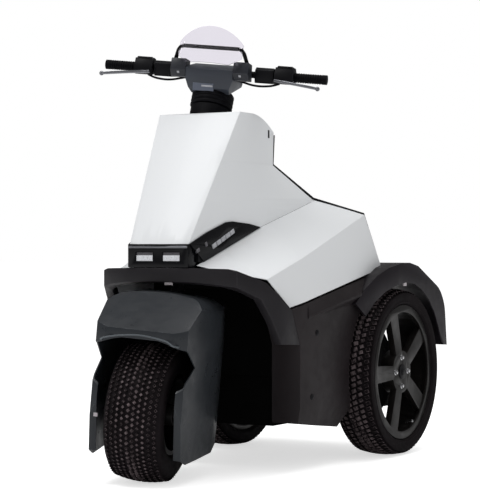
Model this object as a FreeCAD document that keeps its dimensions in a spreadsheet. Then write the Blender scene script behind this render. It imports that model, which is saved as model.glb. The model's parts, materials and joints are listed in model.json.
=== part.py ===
"""Stand-up three-wheeled vehicle: one fat steered front wheel, two larger rear wheels.

Frame: millimetres, +X forward, +Y to the rider's left, +Z up, origin on the ground.
The front wheel, fork, shroud and handlebar are drawn straight ahead and then turned
together about the raked steering axis to the angle at which the vehicle is parked.
"""
import FreeCAD, Part
import math
import os

import Sketcher

V = FreeCAD.Vector
DOC = FreeCAD.newDocument("three_wheeler")

# Driving dimensions, in millimetres and degrees
SIZES = {
    # wheels
    "wheelbase": 1056.0,
    "rear_axle_x": -460.0,
    "rear_tyre_radius": 293.0,
    "rear_tyre_width": 150.0,
    "rear_track": 644.0,
    "rear_rim_radius": 228.0,
    "rear_rim_wall": 7.0,
    "rear_spoke_count": 5.0,
    "rear_spoke_inner_width": 46.0,
    "rear_spoke_outer_width": 62.0,
    "rear_spoke_depth": 24.0,
    "rear_hub_radius": 74.0,
    "rear_dish_inset": 6.0,
    "lug_circle_radius": 50.0,
    "lug_count": 4.0,
    "lug_hole_radius": 7.0,
    "rear_axle_radius": 17.0,
    "front_tyre_radius": 217.0,
    "front_tyre_width": 186.0,
    "front_rim_radius": 118.0,
    "front_rim_wall": 6.0,
    "front_hub_radius": 34.0,
    "front_axle_radius": 10.0,
    "tyre_wall": 11.0,
    "axle_clearance": 0.3,
    # steering
    "rake_angle": 19.5,
    "parked_steer_angle": 16.3,
    "neck_x": 208.0,
    "neck_z": 1203.3,
    "stem_radius": 19.0,
    "stem_rise": 60.0,
    "head_tube_wall": 8.0,
    "head_tube_reach": 567.0,
    "crown_clearance": 8.0,
    "crown_thickness": 34.0,
    "crown_depth": 96.0,
    "fork_gap": 22.0,
    "fork_leg_thickness": 16.0,
    "fork_leg_width": 62.0,
    # front shroud
    "shroud_wall": 4.0,
    "shroud_top_x": 600.0,
    "shroud_top_z": 594.0,
    "shroud_nose_x": 776.0,
    "shroud_nose_z": 486.0,
    "shroud_nose_bow": 40.0,
    "shroud_corner_drop": 78.0,
    "shroud_corner_width": 70.0,
    "shroud_corner_bow": 19.0,
    "shroud_crown_bow": 7.0,
    "window_margin": 22.0,
    "window_bow": 26.0,
    "bridge_thickness": 34.0,
    "shroud_front_half_width": 146.0,
    "shroud_rear_half_width": 168.0,
    "shroud_rear_x": 312.0,
    "shroud_foot_z": 82.0,
    # nose fairing
    "panel_wall": 4.0,
    "nose_top_z": 1170.0,
    "nose_top_front_x": 285.0,
    "nose_top_rear_x": 34.0,
    "nose_top_half_width": 154.0,
    "nose_rear_half_width": 140.0,
    "nose_rear_top_z": 1112.0,
    "nose_brow_x": 226.0,
    "nose_brow_bow": 18.0,
    "nose_lip": 12.0,
    "nose_foot_z": 742.0,
    "nose_foot_front_x": 531.0,
    "nose_foot_half_width": 110.0,
    "nose_face_bow": 16.0,
    "waist_z": 1006.0,
    "waist_rear_x": 50.0,
    "elbow_x": -140.0,
    "elbow_z": 890.0,
    "elbow_half_width": 200.0,
    "nose_skirt_z": 640.0,
    # shoulders
    "valley_mid_x": 170.0,
    "valley_mid_y": 160.0,
    "valley_mid_z": 798.0,
    "valley_front_x": 461.0,
    "valley_front_y": 121.0,
    "valley_front_z": 686.0,
    "valley_overlap": 40.0,
    "body_half_width": 330.0,
    "crease_rear_x": -270.0,
    "crease_rear_z": 843.0,
    "crease_front_x": 372.0,
    "crease_front_y": 305.0,
    "crease_front_z": 632.0,
    "shoulder_tail_x": -392.0,
    "shoulder_tail_z": 659.0,
    "shoulder_point_x": 259.0,
    "shoulder_point_z": 538.0,
    # bumper
    "bumper_front_x": 545.0,
    "bumper_top_z": 668.0,
    "bumper_bottom_z": 629.0,
    "bumper_depth": 24.0,
    # lower body
    "sill_front_z": 163.0,
    "sill_chamfer": 14.0,
    "sill_chamfer_z": 212.0,
    "lip_front_x": 150.0,
    "lip_rear_x": -300.0,
    "lip_width": 30.0,
    "lip_height": 38.0,
    "lip_edge": 8.0,
    "sill_rear_z": 128.0,
    "arch_corner_x": 205.0,
    "arch_corner_z": 417.0,
    "deck_z": 330.0,
    "deck_thickness": 12.0,
    "mat_thickness": 6.0,
    "tub_half_width": 226.0,
    "tub_bottom_z": 150.0,
    "tub_rear_x": -700.0,
    "tub_front_x": 196.0,
    "tub_wall": 5.0,
    "battery_half_width": 160.0,
    "battery_headroom": 20.0,
    "tyre_gap": 22.0,
    "fender_half_width": 400.0,
    "fender_height": 70.0,
    "fender_tail_x": -814.0,
    "fender_tail_top_z": 563.0,
    "fender_tail_foot_z": 372.0,
    "fender_wall": 5.0,
    "fender_shoulder_x": -400.0,
    # cockpit
    "bar_x": 200.0,
    "bar_z": 1312.0,
    "bar_half_width": 377.0,
    "bar_radius": 11.0,
    "grip_radius": 16.0,
    "grip_length": 104.0,
    "pod_length": 62.0,
    "pod_spacing": 6.0,
    "lever_thickness": 9.0,
    "lever_droop": 7.0,
    "lever_reach": 372.0,
    "console_half_width": 80.0,
    "console_pod_width": 52.0,
    "glass_thickness": 3.0,
    "glass_top_z": 1459.0,
    "glass_half_width": 108.0,
    "glass_radius": 190.0,
    "glass_lean": 14.0,
    "seat_gap": 0.3,
    "boot_radius": 70.0,
    "boot_height": 54.0,
    "boot_drop": 14.0,
    "boot_rib": 4.0,
    "boot_rib_count": 4.0,
    "turn_clearance": 5.0,
    "trim_radius": 4.0,
    "knee_wall": 7.0,
    "knee_foot_x": -116.0,
    "cowl_wall": 4.0,
    "liner_z": 642.0,
    "vent_depth": 5.0,
    "frame_tube_radius": 6.5,
}

SHEET = DOC.addObject("Spreadsheet::Sheet", "Sizes")
for row, (name, number) in enumerate(SIZES.items(), start=1):
    SHEET.set(f"A{row}", name)
    SHEET.set(f"B{row}", str(number))
    SHEET.setAlias(f"B{row}", name)
DOC.recompute()


class Dim:
    """A size that carries its number and the sheet expression that gives it."""

    def __init__(self, number, text):
        self.number = float(number)
        self.text = text

    def __float__(self):
        return self.number

    def __add__(self, other):
        other = as_dim(other)
        return Dim(self.number + other.number, f"({self.text} + {other.text})")

    def __radd__(self, other):
        return as_dim(other) + self

    def __sub__(self, other):
        other = as_dim(other)
        return Dim(self.number - other.number, f"({self.text} - {other.text})")

    def __rsub__(self, other):
        return as_dim(other) - self

    def __mul__(self, other):
        other = as_dim(other)
        return Dim(self.number * other.number, f"({self.text} * {other.text})")

    def __rmul__(self, other):
        return as_dim(other) * self

    def __truediv__(self, other):
        other = as_dim(other)
        return Dim(self.number / other.number, f"({self.text} / {other.text})")

    def __neg__(self):
        return Dim(-self.number, f"(0 - {self.text})")


def as_dim(value):
    """A plain number becomes a size with its own text."""
    if isinstance(value, Dim):
        return value
    return Dim(value, repr(float(value)))


def between(start, end, share):
    """The place that lies the given share of the way from start to end."""
    return start + (end - start) * share


class Named:
    """The sheet's sizes by name."""


S = Named()
for name in SIZES:
    setattr(S, name, Dim(SHEET.get(name), f"Sizes.{name}"))

# Derived places
front_axle_x = S.rear_axle_x + S.wheelbase
rear_wheel_y = S.rear_track / 2
rake = math.radians(S.rake_angle.number)
STEER_AXIS = V(-math.sin(rake), 0, math.cos(rake))
NECK = V(S.neck_x.number, 0, S.neck_z.number)
ABOUT_STEERING = FreeCAD.Placement(V(), FreeCAD.Rotation(STEER_AXIS, S.parked_steer_angle.number), NECK)
ALONG_STEERING = FreeCAD.Placement(NECK, FreeCAD.Rotation(V(0, 1, 0), -S.rake_angle.number))

NODES = {}


def keep(obj, label):
    """Give a finished sub-part its own name, which also names its file."""
    obj.Label = label
    NODES[label] = obj
    return obj


# Sketch and feature helpers


def bind(obj, prop, value):
    """Tie a property to the sheet."""
    obj.setExpression(prop, as_dim(value).text)


def plane(body, role):
    """One of a body's own origin planes."""
    for feature in body.Origin.OriginFeatures:
        if feature.Role == role:
            return feature
    raise ValueError(role)


def new_body(label):
    """An empty body for features."""
    return DOC.addObject("PartDesign::Body", label)


def place_sketch(body, role, offset, name):
    """A sketch on an origin plane, moved along its normal."""
    sketch = body.newObject("Sketcher::SketchObject", name)
    sketch.AttachmentSupport = [(plane(body, role), "")]
    sketch.MapMode = "FlatFace"
    bind(sketch, "AttachmentOffset.Base.z", offset)
    return sketch


def free_sketch(role, offset, name):
    """A sketch outside any body, for extrusions and booleans."""
    sketch = DOC.addObject("Sketcher::SketchObject", name)
    turns = {
        "XY_Plane": FreeCAD.Rotation(),
        "XZ_Plane": FreeCAD.Rotation(V(1, 0, 0), 90),
        "YZ_Plane": FreeCAD.Rotation(V(1, 1, 1), 120),
    }
    along = {"XY_Plane": ("z", 1.0), "XZ_Plane": ("y", 1.0), "YZ_Plane": ("x", 1.0)}
    sketch.Placement = FreeCAD.Placement(V(), turns[role])
    axis, sign = along[role]
    bind(sketch, f"Placement.Base.{axis}", as_dim(offset) * sign)
    return sketch


def bowed_edge(start, end, rise):
    """An arc between two points that bows to the right of its travel by the given rise."""
    if rise < 0:
        start, end, rise = end, start, -rise
    chord = end - start
    radius = (chord.Length ** 2 / 4 + rise ** 2) / (2 * rise)
    left = V(-chord.y, chord.x, 0).normalize()
    centre = (start + end) * 0.5 + left * (radius - rise)
    first = math.atan2(start.y - centre.y, start.x - centre.x)
    last = math.atan2(end.y - centre.y, end.x - centre.x)
    return Part.ArcOfCircle(Part.Circle(centre, V(0, 0, 1), radius), first, last)


def add_loop(sketch, corners):
    """A closed outline. A corner is (x, y) or (x, y, rise), where rise bows the edge that follows."""
    first = sketch.GeometryCount
    count = len(corners)
    spots = [V(as_dim(c[0]).number, as_dim(c[1]).number, 0) for c in corners]
    flipped = []
    for index, corner in enumerate(corners):
        start, end = spots[index], spots[(index + 1) % count]
        flipped.append(len(corner) == 3 and as_dim(corner[2]).number < 0)
        if len(corner) == 2:
            sketch.addGeometry(Part.LineSegment(start, end), False)
            continue
        sketch.addGeometry(bowed_edge(start, end, as_dim(corner[2]).number), False)
    for index in range(count):
        follower = (index + 1) % count
        end_code = 1 if flipped[index] else 2
        start_code = 2 if flipped[follower] else 1
        sketch.addConstraint(
            Sketcher.Constraint("Coincident", first + index, end_code, first + follower, start_code))
    for index, corner in enumerate(corners):
        code = 2 if flipped[index] else 1
        for kind, value in (("DistanceX", as_dim(corner[0])), ("DistanceY", as_dim(corner[1]))):
            made = sketch.addConstraint(
                Sketcher.Constraint(kind, -1, 1, first + index, code, value.number))
            sketch.setExpression(f"Constraints[{made}]", value.text)
    for index, corner in enumerate(corners):
        if len(corner) == 3:
            following = corners[(index + 1) % count]
            across = as_dim(following[0]) - corner[0]
            upward = as_dim(following[1]) - corner[1]
            rise = as_dim(corner[2])
            half_chord_squared = (across * across + upward * upward) / 4
            size = (half_chord_squared + rise * rise) / (rise * 2)
            if size.number < 0:
                size = -size
            made = sketch.addConstraint(Sketcher.Constraint("Radius", first + index, size.number))
            sketch.setExpression(f"Constraints[{made}]", size.text)


def add_circle(sketch, x, y, radius):
    """A full circle at a bound place."""
    x, y, radius = as_dim(x), as_dim(y), as_dim(radius)
    index = sketch.addGeometry(Part.Circle(V(x.number, y.number, 0), V(0, 0, 1), radius.number), False)
    for kind, value in (("DistanceX", x), ("DistanceY", y)):
        made = sketch.addConstraint(Sketcher.Constraint(kind, -1, 1, index, 3, value.number))
        sketch.setExpression(f"Constraints[{made}]", value.text)
    made = sketch.addConstraint(Sketcher.Constraint("Radius", index, radius.number))
    sketch.setExpression(f"Constraints[{made}]", radius.text)


def prism(name, role, loops, low, high, circles=()):
    """A straight extrusion of an outline between two places along the plane's world axis."""
    low, high = as_dim(low), as_dim(high)
    sketch = free_sketch(role, low, name + "_outline")
    for loop in loops:
        add_loop(sketch, loop)
    for circle in circles:
        add_circle(sketch, *circle)
    solid = DOC.addObject("Part::Extrusion", name)
    solid.Base = sketch
    solid.DirMode = "Custom"
    solid.Dir = {"XY_Plane": V(0, 0, 1), "XZ_Plane": V(0, 1, 0), "YZ_Plane": V(1, 0, 0)}[role]
    solid.Solid = True
    bind(solid, "LengthFwd", high - low)
    return solid


def common(name, *parts):
    """What all the parts share."""
    made = DOC.addObject("Part::MultiCommon", name)
    made.Shapes = list(parts)
    return made


def fused(name, *parts):
    """The parts joined into one."""
    made = DOC.addObject("Part::MultiFuse", name)
    made.Shapes = list(parts)
    made.Refine = True
    return made


def cut(name, base, *tools):
    """The base with the tools taken away."""
    tool = tools[0] if len(tools) == 1 else fused(name + "_tools", *tools)
    made = DOC.addObject("Part::Cut", name)
    made.Base = base
    made.Tool = tool
    return made


def cylinder(name, radius, length, placement, inner=None):
    """A round bar or tube along the placement's Z axis."""
    made = DOC.addObject("Part::Cylinder", name)
    bind(made, "Radius", radius)
    bind(made, "Height", length)
    made.Placement = placement
    if inner is None:
        return made
    bore = DOC.addObject("Part::Cylinder", name + "_bore")
    bind(bore, "Radius", inner)
    bind(bore, "Height", length)
    bore.Placement = placement
    return cut(name + "_tube", made, bore)


def block(name, x, y, z):
    """A box from low and high places along each axis."""
    (x0, x1), (y0, y1), (z0, z1) = x, y, z
    made = DOC.addObject("Part::Box", name)
    for side, low, high in (("Length", x0, x1), ("Width", y0, y1), ("Height", z0, z1)):
        bind(made, side, as_dim(high) - low)
    for axis, low in (("x", x0), ("y", y0), ("z", z0)):
        bind(made, f"Placement.Base.{axis}", low)
    return made


def mirrored(name, source):
    """The same piece on the vehicle's other side."""
    made = DOC.addObject("Part::Mirroring", name)
    made.Source = source
    made.Normal = V(0, 1, 0)
    made.Base = V()
    return made


def shaped(name, shape):
    """A piece whose shape is worked out with the modelling kernel's own functions."""
    made = DOC.addObject("Part::Feature", name)
    made.Shape = shape
    return made


def steer(obj):
    """Turn a piece that was drawn straight ahead to the parked steering angle."""
    obj.Placement = ABOUT_STEERING.multiply(obj.Placement)
    return obj


def across(x, y, z):
    """A placement whose Z axis runs along +Y from the given point."""
    return FreeCAD.Placement(V(float(x), float(y), float(z)), FreeCAD.Rotation(V(1, 0, 0), -90))


# Wheels


def tyre(label, radius, width, rim_radius):
    """A hollow tyre, open to its rim, turned about the Y axis."""
    body = new_body(label + "_body")
    half = width / 2
    bead = half * 0.80
    shoulder = half * 0.80
    drop = (radius - rim_radius) * 0.22
    wall = S.tyre_wall
    flange_top = rim_radius + S.rear_rim_wall + 1
    sketch = place_sketch(body, "YZ_Plane", 0, label + "_section")
    add_loop(sketch, [
        (-bead, rim_radius),
        (-bead, flange_top),
        (-half, between(rim_radius, radius, 0.5)),
        (-shoulder, radius - drop * 0.45, -drop * 0.45),
        (shoulder, radius - drop * 0.45),
        (half, between(rim_radius, radius, 0.5)),
        (bead, flange_top),
        (bead, rim_radius),
        (bead - wall, rim_radius),
        (half - wall, between(rim_radius, radius, 0.5)),
        (shoulder - wall, radius - drop - wall),
        (wall - shoulder, radius - drop - wall),
        (wall - half, between(rim_radius, radius, 0.5)),
        (wall - bead, rim_radius),
    ])
    turn = body.newObject("PartDesign::Revolution", label + "_turn")
    turn.Profile = sketch
    turn.ReferenceAxis = (sketch, ["H_Axis"])
    turn.Angle = 360
    DOC.recompute()
    return body


def rear_rim(label):
    """A five-spoke wheel with its dish at +Y, its hub bored for the axle and its lug holes."""
    body = new_body(label + "_body")
    half = S.rear_tyre_width / 2
    seat = S.rear_rim_radius
    bead = half * 0.80
    lip = bead + S.tyre_wall * 0.5
    wall = S.rear_rim_wall
    barrel = place_sketch(body, "YZ_Plane", 0, label + "_barrel")
    add_loop(barrel, [
        (-lip, seat - wall),
        (-lip, seat + wall),
        (-bead - S.seat_gap, seat + wall),
        (-bead - S.seat_gap, seat - S.seat_gap),
        (bead + S.seat_gap, seat - S.seat_gap),
        (bead + S.seat_gap, seat + wall),
        (lip, seat + wall),
        (lip, seat - wall * 2.6),
        (lip - wall, seat - wall * 2.6),
        (half * 0.5, seat - wall),
    ])
    turn = body.newObject("PartDesign::Revolution", label + "_turn")
    turn.Profile = barrel
    turn.ReferenceAxis = (barrel, ["H_Axis"])
    turn.Angle = 360
    DOC.recompute()
    dish = lip - S.rear_dish_inset
    hub = place_sketch(body, "XZ_Plane", -dish, label + "_hub_disc")
    add_circle(hub, 0, 0, S.rear_hub_radius)
    hub_pad = body.newObject("PartDesign::Pad", label + "_hub_pad")
    hub_pad.Profile = hub
    bind(hub_pad, "Length", S.rear_spoke_depth * 2)
    DOC.recompute()
    spoke = place_sketch(body, "XZ_Plane", -dish, label + "_spoke")
    inner = S.rear_spoke_inner_width / 2
    outer = S.rear_spoke_outer_width / 2
    add_loop(spoke, [
        (S.rear_hub_radius * 0.8, -inner),
        (seat - wall * 2, -outer),
        (seat - wall * 2, outer),
        (S.rear_hub_radius * 0.8, inner),
    ])
    pad = body.newObject("PartDesign::Pad", label + "_spoke_pad")
    pad.Profile = spoke
    bind(pad, "Length", S.rear_spoke_depth)
    DOC.recompute()
    ring = body.newObject("PartDesign::PolarPattern", label + "_spokes")
    ring.Originals = [pad]
    ring.Axis = (barrel, ["H_Axis"])
    ring.Angle = 360
    bind(ring, "Occurrences", S.rear_spoke_count)
    body.Tip = ring
    DOC.recompute()
    bore = place_sketch(body, "XZ_Plane", 0, label + "_bore_circle")
    add_circle(bore, 0, 0, S.rear_axle_radius + S.axle_clearance)
    bore_cut = body.newObject("PartDesign::Pocket", label + "_bore")
    bore_cut.Profile = bore
    bore_cut.Midplane = True
    bind(bore_cut, "Length", (dish - S.rear_spoke_depth * 0.6) * 2)
    DOC.recompute()
    lug = place_sketch(body, "XZ_Plane", -dish, label + "_lug_circle")
    add_circle(lug, S.lug_circle_radius, 0, S.lug_hole_radius)
    lug_cut = body.newObject("PartDesign::Pocket", label + "_lug_hole")
    lug_cut.Profile = lug
    bind(lug_cut, "Length", S.rear_spoke_depth)
    lug_cut.Reversed = True
    DOC.recompute()
    lugs = body.newObject("PartDesign::PolarPattern", label + "_lug_holes")
    lugs.Originals = [lug_cut]
    lugs.Axis = (barrel, ["H_Axis"])
    lugs.Angle = 360
    bind(lugs, "Occurrences", S.lug_count)
    body.Tip = lugs
    DOC.recompute()
    return body


def front_rim(label):
    """A plain drop-centre wheel with a flat disc on its middle plane and a through hub."""
    body = new_body(label + "_body")
    half = S.front_tyre_width / 2
    seat = S.front_rim_radius
    bead = half * 0.80
    lip = bead + S.tyre_wall * 0.5
    wall = S.front_rim_wall
    hub = S.front_hub_radius
    bore = S.front_axle_radius + S.axle_clearance
    section = place_sketch(body, "YZ_Plane", 0, label + "_section")
    add_loop(section, [
        (-lip, seat - wall),
        (-lip, seat + wall),
        (-bead - S.seat_gap, seat + wall),
        (-bead - S.seat_gap, seat - S.seat_gap),
        (bead + S.seat_gap, seat - S.seat_gap),
        (bead + S.seat_gap, seat + wall),
        (lip, seat + wall),
        (lip, seat - wall),
        (wall, seat - wall),
        (wall, hub),
        (lip, hub),
        (lip, bore),
        (-lip, bore),
        (-lip, hub),
        (-wall, hub),
        (-wall, seat - wall),
    ])
    turn = body.newObject("PartDesign::Revolution", label + "_turn")
    turn.Profile = section
    turn.ReferenceAxis = (section, ["H_Axis"])
    turn.Angle = 360
    DOC.recompute()
    return body


def lowest_reach(radius, width, turn):
    """How far the turned tyre reaches below its centre."""
    half = width.number / 2
    drop = (radius.number - S.front_rim_radius.number) * 0.22
    shoulder, crown = half * 0.80, radius.number
    side = crown - drop * 0.45
    chord = shoulder
    sag = crown - side
    bow = (chord * chord + sag * sag) / (2 * sag)
    axle = turn.multVec(V(0, 1, 0))
    tilt = math.sqrt(axle.x * axle.x + axle.y * axle.y)
    reaches = []
    for step in range(-20, 21):
        place = shoulder * step / 20
        height = crown - bow + math.sqrt(bow * bow - place * place)
        reaches.append(height * tilt - place * axle.z)
    return max(reaches)


reach = lowest_reach(S.front_tyre_radius, S.front_tyre_width, ABOUT_STEERING.Rotation)
turned_low = ABOUT_STEERING.multVec(V(front_axle_x.number, 0, 0)).z
turned_high = ABOUT_STEERING.multVec(V(front_axle_x.number, 0, 100)).z
front_axle_z = (reach - turned_low) / (turned_high - turned_low) * 100
FRONT_AXLE = V(front_axle_x.number, 0, front_axle_z)

front_tyre = tyre("front_tyre", S.front_tyre_radius, S.front_tyre_width, S.front_rim_radius)
front_wheel = front_rim("front_rim")
for wheel_piece, label in ((front_tyre, "front_tyre"), (front_wheel, "front_rim")):
    wheel_piece.Placement = FreeCAD.Placement(FRONT_AXLE, FreeCAD.Rotation())
    keep(steer(wheel_piece), label)

for side, label in ((1, "left"), (-1, "right")):
    turn = FreeCAD.Rotation() if side > 0 else FreeCAD.Rotation(V(0, 0, 1), 180)
    place = FreeCAD.Placement(
        V(S.rear_axle_x.number, side * rear_wheel_y.number, S.rear_tyre_radius.number), turn)
    rear_tyre = tyre("rear_tyre_" + label, S.rear_tyre_radius, S.rear_tyre_width, S.rear_rim_radius)
    rim = rear_rim("rear_rim_" + label)
    rear_tyre.Placement = place
    rim.Placement = place
    keep(rear_tyre, "rear_tyre_" + label)
    keep(rim, "rear_rim_" + label)

# Steering assembly, drawn straight ahead

fork_y = S.front_tyre_width / 2 + S.fork_gap
fork_outer_y = fork_y + S.fork_leg_thickness


def along_axis(name, radius, start, length, inner=None):
    """A round bar or tube on the steering axis, start measured up from the neck point."""
    place = ALONG_STEERING.multiply(FreeCAD.Placement(V(0, 0, float(start)), FreeCAD.Rotation()))
    return cylinder(name, radius, length, place, inner)


head_top = -S.boot_drop - S.turn_clearance
head_low = head_top - S.head_tube_reach
axle_depth = -ALONG_STEERING.inverse().multVec(FRONT_AXLE).z
crown_drop = axle_depth - S.front_tyre_radius - S.crown_clearance - S.crown_thickness
stem = along_axis("stem_bar", S.stem_radius, -crown_drop, crown_drop + S.stem_rise)
keep(steer(stem), "steering_stem")

crown_block = DOC.addObject("Part::Box", "crown_block")
bind(crown_block, "Length", S.crown_depth)
bind(crown_block, "Width", fork_outer_y * 2)
bind(crown_block, "Height", S.crown_thickness)
crown_block.Placement = ALONG_STEERING.multiply(FreeCAD.Placement(
    V(-S.crown_depth.number / 2, -fork_outer_y.number, -(crown_drop + S.crown_thickness).number),
    FreeCAD.Rotation()))
keep(steer(crown_block), "fork_crown")


def fork_leg(side):
    """One flat leg from the crown's underside to the axle, with a round eye at its foot."""
    label = "left" if side > 0 else "right"
    top = ALONG_STEERING.multVec(V(0, 0, -(crown_drop + S.crown_thickness + S.seat_gap).number))
    ahead = ALONG_STEERING.Rotation.multVec(V(1, 0, 0))
    half = S.fork_leg_width.number / 2
    a = top - ahead * half
    b = top + ahead * half
    eye = V(FRONT_AXLE.x, 0, FRONT_AXLE.z)
    low = fork_y.number if side > 0 else -fork_outer_y.number
    outline = [a, b, eye + V(half, 0, 0), eye - V(half, 0, 0)]
    wire = Part.makePolygon([V(p.x, low, p.z) for p in outline + outline[:1]])
    leg = Part.Face(wire).extrude(V(0, S.fork_leg_thickness.number, 0))
    foot = Part.makeCylinder(half, S.fork_leg_thickness.number, V(eye.x, low, eye.z), V(0, 1, 0))
    hole = Part.makeCylinder(
        S.front_axle_radius.number + S.seat_gap.number, S.fork_leg_thickness.number,
        V(eye.x, low, eye.z), V(0, 1, 0))
    return shaped("fork_leg_" + label + "_shape", leg.fuse(foot).removeSplitter().cut(hole))


keep(steer(fork_leg(1)), "fork_leg_left")
keep(steer(fork_leg(-1)), "fork_leg_right")

axle_half = fork_outer_y + 6
keep(steer(cylinder("front_axle_bar", S.front_axle_radius, axle_half * 2,
                    across(front_axle_x, -axle_half, front_axle_z))), "front_axle")

# Front shroud: a hood over the wheel with a deep blade down each side


def shroud_profile(inset):
    """The hood's outline seen from the side."""
    rear, nose = S.shroud_rear_x + inset, S.shroud_nose_x - inset
    top, foot = S.shroud_top_z - inset, S.shroud_foot_z - inset
    return [
        (rear, foot + 22),
        (rear, top - 150),
        (rear + 90, top - 40),
        (S.shroud_top_x - 120, top),
        (S.shroud_top_x, top),
        (nose, S.shroud_nose_z - inset),
        (nose, S.shroud_nose_z - 190),
        (nose - 46, foot + 16),
        (nose - 90, foot),
        (front_axle_x, foot + 4),
    ]


def shroud_plan(inset):
    """The hood's outline seen from above, round in front and widest behind the wheel."""
    front, rear = S.shroud_front_half_width - inset, S.shroud_rear_half_width - inset
    nose, tail = S.shroud_nose_x + 20 - inset - S.shroud_nose_bow, S.shroud_rear_x - 10 + inset
    return [
        (nose, -front, S.shroud_nose_bow),
        (nose, front),
        (tail + 160, rear),
        (tail, rear * 0.82),
        (tail, -rear * 0.82),
        (tail + 160, -rear),
    ]


def shroud_mass(name, inset):
    """The hood as a full mass, inset for its inner face."""
    reach_y = S.shroud_rear_half_width + 10
    side_mass = prism(name + "_side", "XZ_Plane", [shroud_profile(inset)], -reach_y, reach_y)
    plan_mass = prism(name + "_plan", "XY_Plane", [shroud_plan(inset)], 0, S.shroud_top_z + 10)
    half, top = S.shroud_rear_half_width - inset, S.shroud_top_z - inset
    corner_y, corner_z = half - S.shroud_corner_width, top - S.shroud_crown_bow
    arch = [
        (-half, 0),
        (half, 0),
        (half, top - S.shroud_corner_drop, S.shroud_corner_bow),
        (corner_y, corner_z, S.shroud_crown_bow),
        (-corner_y, corner_z, S.shroud_corner_bow),
        (-half, top - S.shroud_corner_drop),
    ]
    front_mass = prism(name + "_front", "YZ_Plane", [arch], S.shroud_rear_x - 20, S.shroud_nose_x + 40)
    return common(name, side_mass, plan_mass, front_mass)


window_y = S.shroud_front_half_width - S.window_margin
window_corner_z = S.shroud_nose_z - S.window_margin - S.window_bow
wheel_window = common(
    "wheel_window",
    prism("window_side", "XZ_Plane", [[
        (S.shroud_nose_x - 150, 0),
        (S.shroud_nose_x - 130, S.shroud_nose_z - 160),
        (S.shroud_nose_x - 78, S.shroud_nose_z - 52),
        (S.shroud_nose_x + 60, S.shroud_nose_z - 8),
        (S.shroud_nose_x + 60, 0),
    ]], -window_y, window_y),
    prism("window_front", "YZ_Plane", [[
        (-window_y, 0),
        (window_y, 0),
        (window_y, window_corner_z, S.window_bow),
        (-window_y, window_corner_z),
    ]], S.shroud_rear_x, S.shroud_nose_x + 60))
side_notch = prism("side_notch", "XZ_Plane", [[
    (S.shroud_nose_x + 60, S.shroud_nose_z - 20),
    (S.shroud_nose_x - 34, S.shroud_nose_z - 56),
    (S.shroud_nose_x - 105, S.shroud_nose_z - 107),
    (S.shroud_nose_x - 36, S.shroud_nose_z - 150),
    (S.shroud_nose_x + 2, S.shroud_nose_z - 192),
    (S.shroud_nose_x + 60, S.shroud_nose_z - 192),
]], -S.shroud_rear_half_width, S.shroud_rear_half_width)
stem_hole = along_axis("shroud_stem_hole", S.stem_radius + S.seat_gap, -crown_drop, crown_drop)
hood = cut("hood", shroud_mass("hood_outer", 0), shroud_mass("hood_inner", S.shroud_wall),
           wheel_window, side_notch, stem_hole)
bridge = cut("bridge", common("bridge_form", shroud_mass("bridge_mass", S.shroud_wall),
                              block("bridge_slab", (S.shroud_rear_x, front_axle_x),
                                    (-fork_outer_y, fork_outer_y),
                                    (S.shroud_top_z - S.bridge_thickness, S.shroud_top_z))),
             along_axis("bridge_stem_hole", S.stem_radius + S.seat_gap, -crown_drop, crown_drop))
keep(steer(hood), "front_shroud")
keep(steer(bridge), "shroud_bridge")

# Cockpit, drawn straight ahead

boot_core_radius = S.boot_radius - S.boot_rib
boot_pitch = S.boot_height / S.boot_rib_count
boot_rings = [along_axis("boot_core", boot_core_radius, -S.boot_drop, S.boot_height,
                         S.stem_radius + S.seat_gap)]
for number in range(round(S.boot_rib_count.number)):
    boot_rings.append(along_axis(f"boot_rib_{number}", S.boot_radius, boot_pitch * number - S.boot_drop,
                                 boot_pitch * 0.6, boot_core_radius - 1))
keep(steer(fused("boot", *boot_rings)), "neck_boot")

bar = cylinder("bar", S.bar_radius, S.bar_half_width * 2, across(S.bar_x, -S.bar_half_width, S.bar_z))
keep(steer(bar), "handlebar")
inner_end = S.bar_half_width - S.grip_length
brake_inner = inner_end - 1 - S.pod_length
switch_inner = brake_inner - S.pod_spacing - S.pod_length
on_bar = (S.bar_x, S.bar_z, S.bar_radius + S.seat_gap)
brake_face = S.bar_x + 34
switch_profile = [
    (S.bar_x - 23, S.bar_z - 24), (S.bar_x + 18, S.bar_z - 27), (S.bar_x + 26, S.bar_z - 10),
    (S.bar_x + 25, S.bar_z + 16), (S.bar_x + 12, S.bar_z + 25), (S.bar_x - 18, S.bar_z + 23),
    (S.bar_x - 26, S.bar_z + 2),
]
brake_profile = [
    (S.bar_x - 20, S.bar_z - 18), (S.bar_x + 12, S.bar_z - 25), (brake_face, S.bar_z - 24),
    (brake_face, S.bar_z + 4), (S.bar_x + 24, S.bar_z + 29), (S.bar_x - 6, S.bar_z + 31),
    (S.bar_x - 21, S.bar_z + 16),
]
grip_left = cylinder("grip_left", S.grip_radius, S.grip_length + 3, across(S.bar_x, inner_end, S.bar_z),
                     S.bar_radius + S.seat_gap)
switch_left = prism("switch_left", "XZ_Plane", [switch_profile], switch_inner,
                    switch_inner + S.pod_length, [on_bar])
brake_left = prism("brake_left", "XZ_Plane", [brake_profile], brake_inner,
                   brake_inner + S.pod_length, [on_bar])
pods_left = fused("pods_left", switch_left, brake_left)
lever_root = brake_face + S.seat_gap
lever_left = prism("lever_left", "XY_Plane", [[
    (lever_root, brake_inner + 4),
    (S.bar_x + 50, brake_inner + 2),
    (S.bar_x + 72, brake_inner + 52),
    (S.bar_x + 86, brake_inner + 120),
    (S.bar_x + 84, S.lever_reach),
    (S.bar_x + 72, S.lever_reach),
    (S.bar_x + 68, brake_inner + 90),
    (S.bar_x + 54, brake_inner + 40),
    (lever_root, brake_inner + 26),
]], S.bar_z - 20, S.bar_z - 20 + S.lever_thickness)
droop = FreeCAD.Rotation(V(1, 0, 0), -S.lever_droop.number)
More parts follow.
